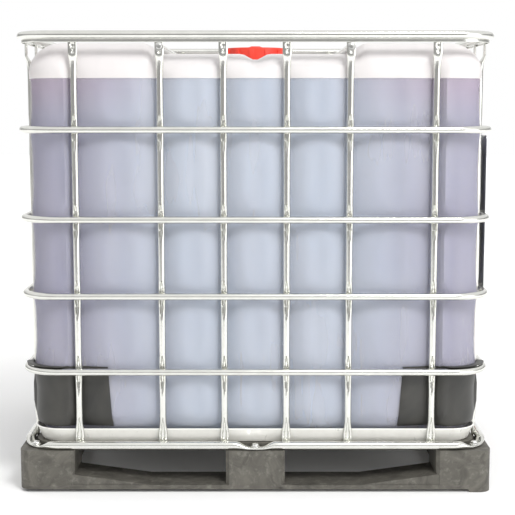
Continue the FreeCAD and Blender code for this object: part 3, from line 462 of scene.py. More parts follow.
def metal_finish(name, bright, dull, roughness, grain_size, streak, relief_strength, bare=1.0):
    """Coated steel: a patchy zinc coat with drawn streaks, uneven gloss and faint relief."""
    finish = bpy.data.materials.new(name)
    finish.use_nodes = True
    nodes = finish.node_tree.nodes
    links = finish.node_tree.links
    nodes.clear()

    place = nodes.new("ShaderNodeTexCoord")
    place.label = "Place on the steel"
    place.location = (-1500, 0)

    coat_frame = nodes.new("NodeFrame")
    coat_frame.label = "Zinc coat"
    spangle = nodes.new("ShaderNodeTexVoronoi")
    spangle.label = "Spangle of the zinc"
    spangle.location = (-1250, 240)
    spangle.parent = coat_frame
    spangle.inputs["Scale"].default_value = grain_size
    cloud = nodes.new("ShaderNodeTexNoise")
    cloud.label = "Thick and thin coat"
    cloud.location = (-1250, -40)
    cloud.parent = coat_frame
    cloud.inputs["Scale"].default_value = grain_size * 0.35
    cloud.inputs["Detail"].default_value = 5.0
    patch = nodes.new("ShaderNodeMath")
    patch.label = "Spangle over cloud"
    patch.operation = "MULTIPLY_ADD"
    patch.location = (-1020, 140)
    patch.parent = coat_frame
    patch.inputs[1].default_value = 0.35
    tone = nodes.new("ShaderNodeValToRGB")
    tone.label = "Dull to bright zinc"
    tone.location = (-800, 200)
    tone.parent = coat_frame
    tone.color_ramp.elements[0].position = 0.42
    tone.color_ramp.elements[0].color = (*dull, 1)
    tone.color_ramp.elements[1].position = 0.86
    tone.color_ramp.elements[1].color = (*bright, 1)

    streak_frame = nodes.new("NodeFrame")
    streak_frame.label = "Drawing streaks"
    stretch = nodes.new("ShaderNodeMapping")
    stretch.label = "Drawn out along the steel"
    stretch.location = (-1250, -340)
    stretch.parent = streak_frame
    stretch.inputs["Scale"].default_value = streak
    lines = nodes.new("ShaderNodeTexNoise")
    lines.label = "Fine lines"
    lines.location = (-1020, -340)
    lines.parent = streak_frame
    lines.inputs["Scale"].default_value = 14.0
    lines.inputs["Detail"].default_value = 2.0
    gloss = nodes.new("ShaderNodeMapRange")
    gloss.label = "Gloss along the lines"
    gloss.location = (-800, -240)
    gloss.parent = streak_frame
    gloss.inputs["From Min"].default_value = 0.3
    gloss.inputs["From Max"].default_value = 0.7
    gloss.inputs["To Min"].default_value = roughness * 0.9
    gloss.inputs["To Max"].default_value = roughness * 1.12
    relief = nodes.new("ShaderNodeBump")
    relief.label = "Uneven coat"
    relief.location = (-560, -420)
    relief.parent = streak_frame
    relief.inputs["Strength"].default_value = relief_strength
    relief.inputs["Distance"].default_value = 0.0008

    surface = nodes.new("ShaderNodeBsdfPrincipled")
    surface.label = "Zinc on steel"
    surface.location = (-280, 100)
    surface.inputs["Metallic"].default_value = bare
    output = nodes.new("ShaderNodeOutputMaterial")
    output.label = "Out"
    output.location = (40, 100)

    links.new(place.outputs["Object"], spangle.inputs["Vector"])
    links.new(place.outputs["Object"], cloud.inputs["Vector"])
    links.new(spangle.outputs["Distance"], patch.inputs[0])
    links.new(cloud.outputs["Fac"], patch.inputs[2])
    links.new(patch.outputs["Value"], tone.inputs["Fac"])
    links.new(place.outputs["Object"], stretch.inputs["Vector"])
    links.new(stretch.outputs["Vector"], lines.inputs["Vector"])
    links.new(lines.outputs["Fac"], gloss.inputs["Value"])
    links.new(patch.outputs["Value"], relief.inputs["Height"])
    links.new(tone.outputs["Color"], surface.inputs["Base Color"])
    links.new(gloss.outputs["Result"], surface.inputs["Roughness"])
    links.new(relief.outputs["Normal"], surface.inputs["Normal"])
    links.new(surface.outputs["BSDF"], output.inputs["Surface"])
    return finish


bolt_steel = metal_finish(
    "bolt_steel", (0.86, 0.86, 0.84), (0.62, 0.62, 0.60), 0.24, 260.0, (1, 1, 1), 0.10
)
keep_solid("pallet_screws", bolt_steel)

# ---------------------------------------------------------------------------------------------
# Tray. A shallow pan of bright galvanised sheet under the bottle. Its corners are drawn round,
# its wall leans out to a rolled rim, and it is cut down at the outlet side to clear the valve.
# ---------------------------------------------------------------------------------------------
TRAY_FLOOR = 0.1202
TRAY_RIM = 0.158
TRAY_SHEET = 0.0012
TRAY_FLOOR_INSET = 0.044
TRAY_LEAN = 0.0122
TRAY_CORNER = 0.066
TRAY_ROUNDING = 0.004
TRAY_CORNER_STEPS = 14
RIM_ROLL = 0.0021
RIM_SET_IN = 0.0008
RIM_CORNER_GROWTH = 0.0015
NOTCH_WIDTH = 0.130
NOTCH_LOW = 0.140
NOTCH_DEPTH = 0.08
NOTCH_CORNER = 0.010


def solid_walls(piece, thickness, offset=-1.0):
    """Give a single skin its wall."""
    take(piece)
    wall = piece.modifiers.new("wall", "SOLIDIFY")
    wall.thickness = thickness
    wall.offset = offset
    wall.use_even_offset = True
    bpy.ops.object.modifier_apply(modifier=wall.name)


def keep_edges(piece):
    """Delete a flat piece's face and keep the loop of edges round it."""
    pick(piece, "FACE", everything)
    bpy.ops.mesh.delete(type="ONLY_FACE")
    leave_edit()


def new_outline(name, inset, corner, z, segments):
    """A flat face with the pallet's outline, a stated distance inside its edge, with round corners."""
    bpy.ops.object.select_all(action="DESELECT")
    bpy.ops.mesh.primitive_plane_add(size=1, location=(0, 0, z))
    bpy.context.object.scale = (PALLET_LENGTH - 2 * inset, PALLET_WIDTH - 2 * inset, 1)
    piece = set_down(name)
    pick(piece, "VERT", everything)
    bpy.ops.mesh.bevel(offset=corner, segments=segments, affect="VERTICES")
    leave_edit()
    return piece


tray = new_outline("tray_pan", TRAY_FLOOR_INSET, TRAY_CORNER, TRAY_FLOOR, TRAY_CORNER_STEPS)
pick(tray, "FACE", everything)
bpy.ops.mesh.extrude_region_move(TRANSFORM_OT_translate={"value": (0, 0, TRAY_RIM - RIM_ROLL - TRAY_FLOOR)})
rim_scale_x = (PALLET_LENGTH - 2 * (TRAY_FLOOR_INSET - TRAY_LEAN)) / (PALLET_LENGTH - 2 * TRAY_FLOOR_INSET)
rim_scale_y = (PALLET_WIDTH - 2 * (TRAY_FLOOR_INSET - TRAY_LEAN)) / (PALLET_WIDTH - 2 * TRAY_FLOOR_INSET)
bpy.ops.transform.resize(value=(rim_scale_x, rim_scale_y, 1), center_override=(0, 0, TRAY_RIM))
bpy.ops.mesh.delete(type="ONLY_FACE")
leave_edit()
pick(tray, "EDGE", lambda a, b: max(a.z, b.z) < TRAY_FLOOR + 1e-4)
bpy.ops.mesh.bevel(offset=TRAY_ROUNDING, segments=3, affect="EDGES")
face_outwards()
solid_walls(tray, TRAY_SHEET)

# The rolled rim: a thin round bead along the top of the wall, flattened a little.
rim_inset = TRAY_FLOOR_INSET - TRAY_LEAN + RIM_SET_IN
rim_corner = TRAY_CORNER + RIM_CORNER_GROWTH
rim = new_outline("tray_rim", rim_inset, rim_corner, TRAY_RIM - RIM_ROLL, TRAY_CORNER_STEPS)
keep_edges(rim)


def wire_to_tube(wire, radius, resolution=3):
    """Turn a loop of edges into a round tube."""
    take(wire)
    bpy.ops.object.convert(target="CURVE")
    wire.data.bevel_depth = radius
    wire.data.bevel_resolution = resolution
    bpy.ops.object.convert(target="MESH")
    tube = bpy.context.object
    pick(tube, "FACE", everything)
    bpy.ops.mesh.remove_doubles(threshold=0.00005)
    bpy.ops.mesh.normals_make_consistent(inside=False)
    leave_edit()
    bpy.ops.object.shade_smooth()
    return tube


rim = wire_to_tube(rim, RIM_ROLL)
notch = new_block(
    "notch",
    (PALLET_LENGTH / 2 - NOTCH_DEPTH, -NOTCH_WIDTH / 2, NOTCH_LOW),
    (PALLET_LENGTH / 2, NOTCH_WIDTH / 2, TRAY_RIM + 0.02),
)
pick(notch, "EDGE", lambda a, b: abs(a.x - b.x) > 0.01 and max(a.z, b.z) < NOTCH_LOW + 1e-4)
bpy.ops.mesh.bevel(offset=NOTCH_CORNER, segments=5, affect="EDGES")
leave_edit()
second_notch = copy_of(notch)
unite(tray, [notch], "DIFFERENCE")
unite(rim, [second_notch], "DIFFERENCE")
tray = join_pieces([tray, rim], "tray_pan")
bpy.ops.object.shade_smooth_by_angle(angle=math.radians(35))
tray_steel = metal_finish(
    "tray_steel", (0.95, 0.94, 0.89), (0.90, 0.89, 0.84), 0.30, 70.0, (6, 6, 0.25), 0.01, 0.12
)
hand_over(tray, "container", "tray_steel", ["base_tray"], tray_steel)

# ---------------------------------------------------------------------------------------------
# Bottle. One blow moulding of natural polyethylene, milky and a little glossy. Its wall lies
# against the uprights and swells out between them; the middle of its top is lower, with a round
# well for the cap and a drain channel to the front, and one end is set back for the valve.
# ---------------------------------------------------------------------------------------------
BOTTLE_LOW = 0.1216
BOTTLE_TOP = 1.134
BOTTLE_INSET = 0.024
BOTTLE_ROUNDING = 0.088
BOTTLE_WALL = 0.0025
SEAT_DEPTH = 0.0171
SEAT_HALF_WIDTH = 0.011
SWELL = 0.013
PILLOW = 0.0092
LONG_SIDE_PLACES = (-0.4483, -0.2357, -0.0787, 0.0787, 0.2357, 0.4483)
SHORT_SIDE_PLACES = (-0.370, -0.228, -0.078, 0.078, 0.228, 0.370)
RING_HEIGHTS = (0.918, 0.695, 0.502, 0.309)
MIDDLE_TOP = 1.107
MIDDLE_HALF_WIDTH = 0.262
WELL_FLOOR = 1.092
WELL_RADIUS = 0.112
CHANNEL_HALF_WIDTH = 0.037
RECESS_FACE = 0.440
RECESS_HALF_WIDTH = 0.125
RECESS_TOP = 0.322
RECESS_CORNER = 0.022
NECK_RADIUS = 0.076
NECK_TOP = 1.128
OUTLET_HEIGHT = 0.190
STUB_RADIUS = 0.031
STUB_END = 0.462
LIQUID_LEVEL = 1.045


def ease(value):
    value = min(1.0, max(0.0, value))
    return value * value * (3 - 2 * value)


def swell_along(place, seats, corner_start):
    """How far the wall stands out from the uprights' line at a place along one side."""
    for seat in seats:
        if abs(place - seat) <= SEAT_HALF_WIDTH:
            return 0.0
    if abs(place) > seats[-1]:
        reach = (abs(place) - seats[-1] - SEAT_HALF_WIDTH) / (corner_start - seats[-1] - SEAT_HALF_WIDTH)
        reach = min(1.0, reach)
        return SEAT_DEPTH * reach * (2 - reach)
    for left, right in zip(seats, seats[1:]):
        if left < place < right:
            half = (right - left) / 2 - SEAT_HALF_WIDTH
            across = (place - (left + right) / 2) / half
            return SWELL * (1 - across * across)
    return SEAT_DEPTH


def pillow_between_rings(height):
    """The wall also fills out a little between the rings."""
    bands = ((1.075, 0.918), (0.918, 0.695), (0.695, 0.502), (0.502, 0.309), (0.309, 0.172))
    for high, low in bands:
        if low < height < high:
            across = abs(height - (low + high) / 2) / ((high - low) / 2)
            return PILLOW * (1 - across**3)
    return 0.0


def top_surface(x, y):
    """Height of the bottle's top, from its outer thirds down to the well and the drain channel."""
    height = MIDDLE_TOP + (BOTTLE_TOP - MIDDLE_TOP) * ease((abs(x) - MIDDLE_HALF_WIDTH + 0.012) / 0.024)
    sunk = ease((WELL_RADIUS + 0.006 - math.hypot(x, y)) / 0.014)
    if y < 0:
        sunk = max(sunk, ease(1 - abs(x) / CHANNEL_HALF_WIDTH))
    return height + (WELL_FLOOR - MIDDLE_TOP) * sunk


def bottle_point(point, outward=0.0):
    """Move a point of a plain block's skin onto the bottle's wall, or a stated distance outside it."""
    half = Vector((PALLET_LENGTH / 2 - BOTTLE_INSET, PALLET_WIDTH / 2 - BOTTLE_INSET, 0))
    radius = BOTTLE_ROUNDING
    core = Vector(
        (
            max(radius - half.x, min(half.x - radius, point.x)),
            max(radius - half.y, min(half.y - radius, point.y)),
            max(BOTTLE_LOW + radius, min(BOTTLE_TOP - radius, point.z)),
        )
    )
    away = point - core
    if away.length > 1e-9:
        away.normalize()
        point = core + away * (radius + outward)
    facing_y = ease(abs(away.y) * 1.35 - 0.35) if abs(away.y) > abs(away.x) else 0.0
    facing_x = ease(abs(away.x) * 1.35 - 0.35) if abs(away.x) >= abs(away.y) else 0.0
    fade = ease((1.125 - point.z) / 0.085)
    along_x = swell_along(point.x, LONG_SIDE_PLACES, half.x - 0.078)
    along_y = swell_along(point.y, SHORT_SIDE_PLACES, half.y - 0.078)
    pillow = pillow_between_rings(point.z)
    inward_y = (SEAT_DEPTH - along_x) * facing_y * fade - pillow * (along_x / SEAT_DEPTH) * abs(away.y)
    inward_x = (SEAT_DEPTH - along_y) * facing_x * fade - pillow * (along_y / SEAT_DEPTH) * abs(away.x)
    point.y -= math.copysign(inward_y, point.y)
    point.x -= math.copysign(inward_x, point.x)
    edge_start = BOTTLE_TOP - radius
    if point.z > edge_start:
        share = (top_surface(point.x, point.y) - edge_start) / (BOTTLE_TOP - edge_start)
        point.z = edge_start + (point.z - edge_start) * share
    return point


def new_rod(name, radius, low, high, axis="Z", sides=48):
    """A round bar between two points, as the start of a piece."""
    bpy.ops.object.select_all(action="DESELECT")
    middle = (Vector(low) + Vector(high)) / 2
    length = (Vector(high) - Vector(low)).length
    turn = {"X": (0, math.pi / 2, 0), "Y": (math.pi / 2, 0, 0), "Z": (0, 0, 0)}[axis]
    bpy.ops.mesh.primitive_cylinder_add(
        vertices=sides, radius=radius, depth=length, location=middle, rotation=turn
    )
    return set_down(name)


bottle = new_block(
    "bottle_moulding",
    (BOTTLE_INSET - PALLET_LENGTH / 2, BOTTLE_INSET - PALLET_WIDTH / 2, BOTTLE_LOW),
    (PALLET_LENGTH / 2 - BOTTLE_INSET, PALLET_WIDTH / 2 - BOTTLE_INSET, BOTTLE_TOP),
)
for axis, cuts in ((0, 109), (1, 89), (2, 81)):
    pick(bottle, "EDGE", lambda a, b: abs(a[axis] - b[axis]) > 0.2)
    bpy.ops.mesh.subdivide(number_cuts=cuts)
    leave_edit()
for corner_point in bottle.data.vertices:
    corner_point.co = bottle_point(corner_point.co.copy())
copy_of(bottle)
liquid = set_down("liquid")
pick(bottle, "FACE", lambda middle, normal: middle.z < BOTTLE_LOW + 1e-4)
bpy.ops.mesh.dissolve_limited(angle_limit=math.radians(1))
leave_edit()


def recess_cutter(name, clearance):
    """The space set back in the bottle's end for the valve, with round inner corners."""
    cutter = new_block(
        name,
        (RECESS_FACE - clearance, -RECESS_HALF_WIDTH - clearance, 0.05),
        (0.65, RECESS_HALF_WIDTH + clearance, RECESS_TOP + clearance),
    )
    pick(cutter, "EDGE", lambda a, b: max(a.x, b.x) < 0.5 and max(a.z, b.z) > 0.1)
    bpy.ops.mesh.bevel(offset=RECESS_CORNER, segments=6, affect="EDGES")
    leave_edit()
    pick(cutter, "EDGE", lambda a, b: abs(a.x - b.x) > 0.1 and min(a.z, b.z) > RECESS_TOP - 0.001)
    bpy.ops.mesh.bevel(offset=RECESS_CORNER, segments=6, affect="EDGES")
    leave_edit()
    return cutter


unite(bottle, [recess_cutter("recess", 0.0)], "DIFFERENCE")
neck = new_rod("neck", NECK_RADIUS, (0, 0, WELL_FLOOR - 0.006), (0, 0, NECK_TOP), sides=72)
stub_start = RECESS_FACE - 0.006
stub = new_rod("stub", STUB_RADIUS, (stub_start, 0, OUTLET_HEIGHT), (STUB_END, 0, OUTLET_HEIGHT), "X")
unite(bottle, [neck, stub])
pick(
    bottle,
    "FACE",
    lambda middle, normal: (normal.z > 0.9 and middle.z > NECK_TOP - 1e-4 and middle.xy.length < NECK_RADIUS)
    or (normal.x > 0.9 and STUB_END - 1e-4 < middle.x < STUB_END + 1e-4),
)
bpy.ops.mesh.delete(type="FACE")
leave_edit()
solid_walls(bottle, BOTTLE_WALL)
bpy.ops.object.shade_smooth_by_angle(angle=math.radians(42))


def bottle_finish():
    """Natural polyethylene: a milky wall that lets light through, cloudier in faint upright streaks."""
    finish = bpy.data.materials.new("bottle_wall")
    finish.use_nodes = True
    nodes = finish.node_tree.nodes
    links = finish.node_tree.links
    nodes.clear()

    place = nodes.new("ShaderNodeTexCoord")
    place.label = "Place on the bottle"
    place.location = (-1500, 0)

    streak_frame = nodes.new("NodeFrame")
    streak_frame.label = "Upright streaks of the blown wall"
    stretch = nodes.new("ShaderNodeMapping")
    stretch.label = "Drawn down the wall"
    stretch.location = (-1260, 220)
    stretch.parent = streak_frame
    stretch.inputs["Scale"].default_value = (22, 22, 1.2)
    streaks = nodes.new("ShaderNodeTexNoise")
    streaks.label = "Thick and thin streaks"
    streaks.location = (-1040, 220)
    streaks.parent = streak_frame
    streaks.inputs["Scale"].default_value = 1.4
    streaks.inputs["Detail"].default_value = 1.5
    cloud = nodes.new("ShaderNodeTexNoise")
    cloud.label = "Broad cloudiness"
    cloud.location = (-1040, -20)
    cloud.parent = streak_frame
    cloud.inputs["Scale"].default_value = 2.4
    cloud.inputs["Detail"].default_value = 2.0
    both = nodes.new("ShaderNodeMath")
    both.label = "Streaks over cloud"
    both.operation = "MULTIPLY_ADD"
    both.location = (-820, 140)
    both.parent = streak_frame
    both.inputs[1].default_value = 0.55
    haze = nodes.new("ShaderNodeMapRange")
    haze.label = "How milky the wall is"
    haze.location = (-600, 140)
    haze.parent = streak_frame
    haze.inputs["From Min"].default_value = 0.5
    haze.inputs["From Max"].default_value = 1.1
    haze.inputs["To Min"].default_value = 0.20
    haze.inputs["To Max"].default_value = 0.29
    height = nodes.new("ShaderNodeSeparateXYZ")
    height.label = "Height on the bottle"
    height.location = (-1040, 460)
    height.parent = streak_frame
    dry = nodes.new("ShaderNodeMath")
    dry.label = "Dry inside, above the liquid"
    dry.operation = "GREATER_THAN"
    dry.location = (-820, 460)
    dry.parent = streak_frame
    dry.inputs[1].default_value = LIQUID_LEVEL
    milkier = nodes.new("ShaderNodeMath")
    milkier.label = "Milkier where it is dry"
    milkier.operation = "MULTIPLY_ADD"
    milkier.use_clamp = True
    milkier.location = (-380, 300)
    milkier.parent = streak_frame
    milkier.inputs[1].default_value = 0.68

    skin_frame = nodes.new("NodeFrame")
    skin_frame.label = "Skin"
    ripple = nodes.new("ShaderNodeTexNoise")
    ripple.label = "Slow ripple of the wall"
    ripple.location = (-1040, -320)
    ripple.parent = skin_frame
    ripple.inputs["Scale"].default_value = 7.0
    ripple.inputs["Detail"].default_value = 2.0
    relief = nodes.new("ShaderNodeBump")
    relief.label = "Raise the ripple"
    relief.location = (-600, -320)
    relief.parent = skin_frame
    relief.inputs["Strength"].default_value = 0.25
    relief.inputs["Distance"].default_value = 0.004

    body_frame = nodes.new("NodeFrame")
    body_frame.label = "Milky body"
    milk = nodes.new("ShaderNodeBsdfPrincipled")
    milk.label = "Waxy white skin"
    milk.location = (-340, 120)
    milk.parent = body_frame
    milk.inputs["Base Color"].default_value = (0.95, 0.925, 0.915, 1)
    milk.inputs["Roughness"].default_value = 0.34
    milk.inputs["Specular IOR Level"].default_value = 0.35
    glow = nodes.new("ShaderNodeBsdfTranslucent")
    glow.label = "Light through the wall"
    glow.location = (-340, -420)
    glow.parent = body_frame
    glow.inputs["Color"].default_value = (0.97, 0.945, 0.94, 1)
    milky = nodes.new("ShaderNodeMixShader")
    milky.label = "Skin with the light inside it"
    milky.location = (20, 40)
    milky.parent = body_frame
    milky.inputs["Fac"].default_value = 0.40
    clear = nodes.new("ShaderNodeBsdfTransparent")
    clear.label = "What shows through"
    clear.location = (20, 220)
    clear.inputs["Color"].default_value = (1, 1, 1, 1)
    wall = nodes.new("ShaderNodeMixShader")
    wall.label = "Clear to milky"
    wall.location = (260, 120)
    output = nodes.new("ShaderNodeOutputMaterial")
    output.label = "Out"
    output.location = (480, 120)

    links.new(place.outputs["Object"], stretch.inputs["Vector"])
    links.new(stretch.outputs["Vector"], streaks.inputs["Vector"])
    links.new(place.outputs["Object"], cloud.inputs["Vector"])
    links.new(streaks.outputs["Fac"], both.inputs[0])
    links.new(cloud.outputs["Fac"], both.inputs[2])
    links.new(both.outputs["Value"], haze.inputs["Value"])
    links.new(place.outputs["Object"], ripple.inputs["Vector"])
    links.new(ripple.outputs["Fac"], relief.inputs["Height"])
    links.new(relief.outputs["Normal"], milk.inputs["Normal"])
    links.new(milk.outputs["BSDF"], milky.inputs[1])
    links.new(glow.outputs["BSDF"], milky.inputs[2])
    links.new(place.outputs["Object"], height.inputs["Vector"])
    links.new(height.outputs["Z"], dry.inputs[0])
    links.new(dry.outputs["Value"], milkier.inputs[0])
    links.new(haze.outputs["Result"], milkier.inputs[2])
    links.new(milkier.outputs["Value"], wall.inputs["Fac"])
    links.new(clear.outputs["BSDF"], wall.inputs[1])
    links.new(milky.outputs["Shader"], wall.inputs[2])
    links.new(wall.outputs["Shader"], output.inputs["Surface"])
    return finish


hand_over(bottle, "container", "bottle_plastic", ["bottle"], bottle_finish())

# ---------------------------------------------------------------------------------------------
# Liquid. The bottle is nearly full of a clouded grey-blue liquid, seen through its wall. It is
# one closed body just inside the wall, level at the top. Painted shade darkens its colour to
# lavender towards the ends.
# ---------------------------------------------------------------------------------------------
LIQUID_GAP = 0.0044

take(liquid)
shrink = liquid.modifiers.new("inside the wall", "DISPLACE")
shrink.direction = "NORMAL"
shrink.mid_level = 0.0
shrink.strength = -LIQUID_GAP
bpy.ops.object.modifier_apply(modifier=shrink.name)
pick(liquid, "FACE", everything)
bpy.ops.mesh.bisect(plane_co=(0, 0, LIQUID_LEVEL), plane_no=(0, 0, 1), clear_outer=True, use_fill=True)
leave_edit()
unite(liquid, [recess_cutter("recess", LIQUID_GAP)], "DIFFERENCE")
pick(liquid, "FACE", lambda middle, normal: middle.z < BOTTLE_LOW + LIQUID_GAP + 1e-4)
bpy.ops.mesh.dissolve_limited(angle_limit=math.radians(1))
leave_edit()
take(liquid)
bpy.ops.object.shade_smooth_by_angle(angle=math.radians(42))


def liquid_finish():
    """A clouded grey-blue, with painted shade that darkens it to lavender towards the ends, and rosy just
    under its surface.
    """
    finish = bpy.data.materials.new("liquid")
    finish.use_nodes = True
    nodes = finish.node_tree.nodes
    links = finish.node_tree.links
    nodes.clear()

    place = nodes.new("ShaderNodeTexCoord")
    place.label = "Place in the bottle"
    place.location = (-1700, 0)
    split = nodes.new("ShaderNodeSeparateXYZ")
    split.label = "Along and up"
    split.location = (-1500, 0)

    # Painted shade: the liquid's colour darkens from grey-blue to lavender towards the ends of the bottle.
    end_shade_frame = nodes.new("NodeFrame")
    end_shade_frame.label = "Painted shade towards the ends"
    distance = nodes.new("ShaderNodeMath")
    distance.label = "Distance from the middle"
    distance.operation = "ABSOLUTE"
    distance.location = (-1280, 260)
    distance.parent = end_shade_frame
    ends = nodes.new("ShaderNodeMapRange")
    ends.label = "Only near the ends"
    ends.interpolation_type = "SMOOTHSTEP"
    ends.location = (-1080, 260)
    ends.parent = end_shade_frame
    ends.inputs["From Min"].default_value = 0.14
    ends.inputs["From Max"].default_value = 0.57

    surface_frame = nodes.new("NodeFrame")
    surface_frame.label = "Rosy under the surface"
    depth = nodes.new("ShaderNodeMapRange")
    depth.label = "Just under the surface"
    depth.interpolation_type = "SMOOTHSTEP"
    depth.location = (-1080, -20)
    depth.parent = surface_frame
    depth.inputs["From Min"].default_value = LIQUID_LEVEL - 0.12
    depth.inputs["From Max"].default_value = LIQUID_LEVEL + 0.01
    blush = nodes.new("ShaderNodeMath")
    blush.label = "Most of all at the ends"
    blush.operation = "MULTIPLY"
    blush.use_clamp = True
    blush.location = (-860, -120)
    blush.parent = surface_frame

    cloud_frame = nodes.new("NodeFrame")
    cloud_frame.label = "Cloudiness"
    cloud = nodes.new("ShaderNodeTexNoise")
    cloud.label = "Slow clouds"
    cloud.location = (-1280, -300)
    cloud.parent = cloud_frame
    cloud.inputs["Scale"].default_value = 3.2
    cloud.inputs["Detail"].default_value = 2.0
    cloud_part = nodes.new("ShaderNodeMapRange")
    cloud_part.label = "Clouds shift the tint"
    cloud_part.location = (-1080, -300)
    cloud_part.parent = cloud_frame
    cloud_part.inputs["From Min"].default_value = 0.35
    cloud_part.inputs["From Max"].default_value = 0.65
    cloud_part.inputs["To Min"].default_value = -0.06
    cloud_part.inputs["To Max"].default_value = 0.10

    shade_with_clouds = nodes.new("ShaderNodeMath")
    shade_with_clouds.label = "Painted end shade with the clouds"
    shade_with_clouds.operation = "ADD"
    shade_with_clouds.use_clamp = True
    shade_with_clouds.location = (-860, 140)
    # The dark lavender end of this ramp is painted shade, strongest towards the ends.
    tint = nodes.new("ShaderNodeValToRGB")
    tint.label = "Grey-blue to lavender in painted shade"
    tint.location = (-680, 80)
    tint.color_ramp.elements[0].position = 0.0
    tint.color_ramp.elements[0].color = (0.30, 0.37, 0.48, 1)
    tint.color_ramp.elements[1].position = 1.0
    tint.color_ramp.elements[1].color = (0.14, 0.145, 0.27, 1)
    rosy = nodes.new("ShaderNodeMix")
    rosy.label = "Rosy under the surface"
    rosy.data_type = "RGBA"
    rosy.location = (-380, 80)
    rosy.inputs[7].default_value = (0.21, 0.14, 0.26, 1)

    body = nodes.new("ShaderNodeBsdfPrincipled")
    body.label = "Clouded liquid"
    body.location = (-160, 80)
    body.inputs["Roughness"].default_value = 0.6
    body.inputs["Specular IOR Level"].default_value = 0.1
    output = nodes.new("ShaderNodeOutputMaterial")
    output.label = "Out"
    output.location = (140, 80)

    links.new(place.outputs["Object"], split.inputs["Vector"])
    links.new(split.outputs["X"], distance.inputs[0])
    links.new(distance.outputs["Value"], ends.inputs["Value"])
    links.new(split.outputs["Z"], depth.inputs["Value"])
    links.new(place.outputs["Object"], cloud.inputs["Vector"])
    links.new(cloud.outputs["Fac"], cloud_part.inputs["Value"])
    links.new(ends.outputs["Result"], shade_with_clouds.inputs[0])
    links.new(cloud_part.outputs["Result"], shade_with_clouds.inputs[1])
    links.new(shade_with_clouds.outputs["Value"], tint.inputs["Fac"])
    links.new(depth.outputs["Result"], blush.inputs[0])
    links.new(ends.outputs["Result"], blush.inputs[1])
    links.new(blush.outputs["Value"], rosy.inputs[0])
    links.new(tint.outputs["Color"], rosy.inputs[6])
    links.new(rosy.outputs[2], body.inputs["Base Color"])
    links.new(body.outputs["BSDF"], output.inputs["Surface"])
    return finish


hand_over(liquid, "container", "bottle_plastic", [], liquid_finish())

# ---------------------------------------------------------------------------------------------
# Corner guards. Four thin dark sheets of stiff plastic between the bottle and the cage, round
# each lower corner, following the bottle's swells, with a lip that hooks over the lowest ring.
# ---------------------------------------------------------------------------------------------
GUARD_THICKNESS = 0.0018
GUARD_CLEARANCE = 0.0014
GUARD_LOW = 0.156
GUARD_HEIGHTS = (0.009, 0.016, 0.016, 0.016, 0.046, 0.0445, 0.016)
GUARD_END_X = 0.368
GUARD_END_Y = 0.272
GUARD_LEAN = 0.012
GUARD_LEAN_REACH = 0.10


def guard_finish():
    """Stiff dark sheet: near black, satin, with faint rolling haze and dust rubbed along it."""
    finish = bpy.data.materials.new("guard_sheet")
    finish.use_nodes = True
    nodes = finish.node_tree.nodes
    links = finish.node_tree.links
    nodes.clear()
    place = nodes.new("ShaderNodeTexCoord")
    place.label = "Place on the sheet"
    place.location = (-1200, 0)
    haze = nodes.new("ShaderNodeTexNoise")
    haze.label = "Rolling haze"
    haze.location = (-960, 160)
    haze.inputs["Scale"].default_value = 9.0
    haze.inputs["Detail"].default_value = 5.0
    haze.inputs["Distortion"].default_value = 0.6
    tone = nodes.new("ShaderNodeValToRGB")
    tone.label = "Dark sheet, dusty haze"
    tone.location = (-720, 160)
    tone.color_ramp.elements[0].position = 0.35
    tone.color_ramp.elements[0].color = (0.022, 0.022, 0.020, 1)
    tone.color_ramp.elements[1].position = 0.8
    tone.color_ramp.elements[1].color = (0.056, 0.054, 0.047, 1)
    grain = nodes.new("ShaderNodeTexNoise")
    grain.label = "Sheet grain"
    grain.location = (-960, -200)
    grain.inputs["Scale"].default_value = 260.0
    grain.inputs["Detail"].default_value = 2.0
    relief = nodes.new("ShaderNodeBump")
    relief.label = "Raise the grain"
    relief.location = (-560, -240)
    relief.inputs["Strength"].default_value = 0.12
    relief.inputs["Distance"].default_value = 0.0005
    gloss = nodes.new("ShaderNodeMapRange")
    gloss.label = "Satin, duller in the haze"
    gloss.location = (-720, -60)
    gloss.inputs["To Min"].default_value = 0.32
    gloss.inputs["To Max"].default_value = 0.52
    surface = nodes.new("ShaderNodeBsdfPrincipled")
    surface.label = "Dark sheet plastic"
    surface.location = (-280, 100)
    surface.inputs["Specular IOR Level"].default_value = 0.5
    output = nodes.new("ShaderNodeOutputMaterial")
    output.label = "Out"
    output.location = (20, 100)
    links.new(place.outputs["Object"], haze.inputs["Vector"])
    links.new(place.outputs["Object"], grain.inputs["Vector"])
    links.new(haze.outputs["Fac"], tone.inputs["Fac"])
    links.new(haze.outputs["Fac"], gloss.inputs["Value"])
    links.new(grain.outputs["Fac"], relief.inputs["Height"])
    links.new(tone.outputs["Color"], surface.inputs["Base Color"])
    links.new(gloss.outputs["Result"], surface.inputs["Roughness"])
    links.new(relief.outputs["Normal"], surface.inputs["Normal"])
    links.new(surface.outputs["BSDF"], output.inputs["Surface"])
    return finish


guard_sheet = guard_finish()
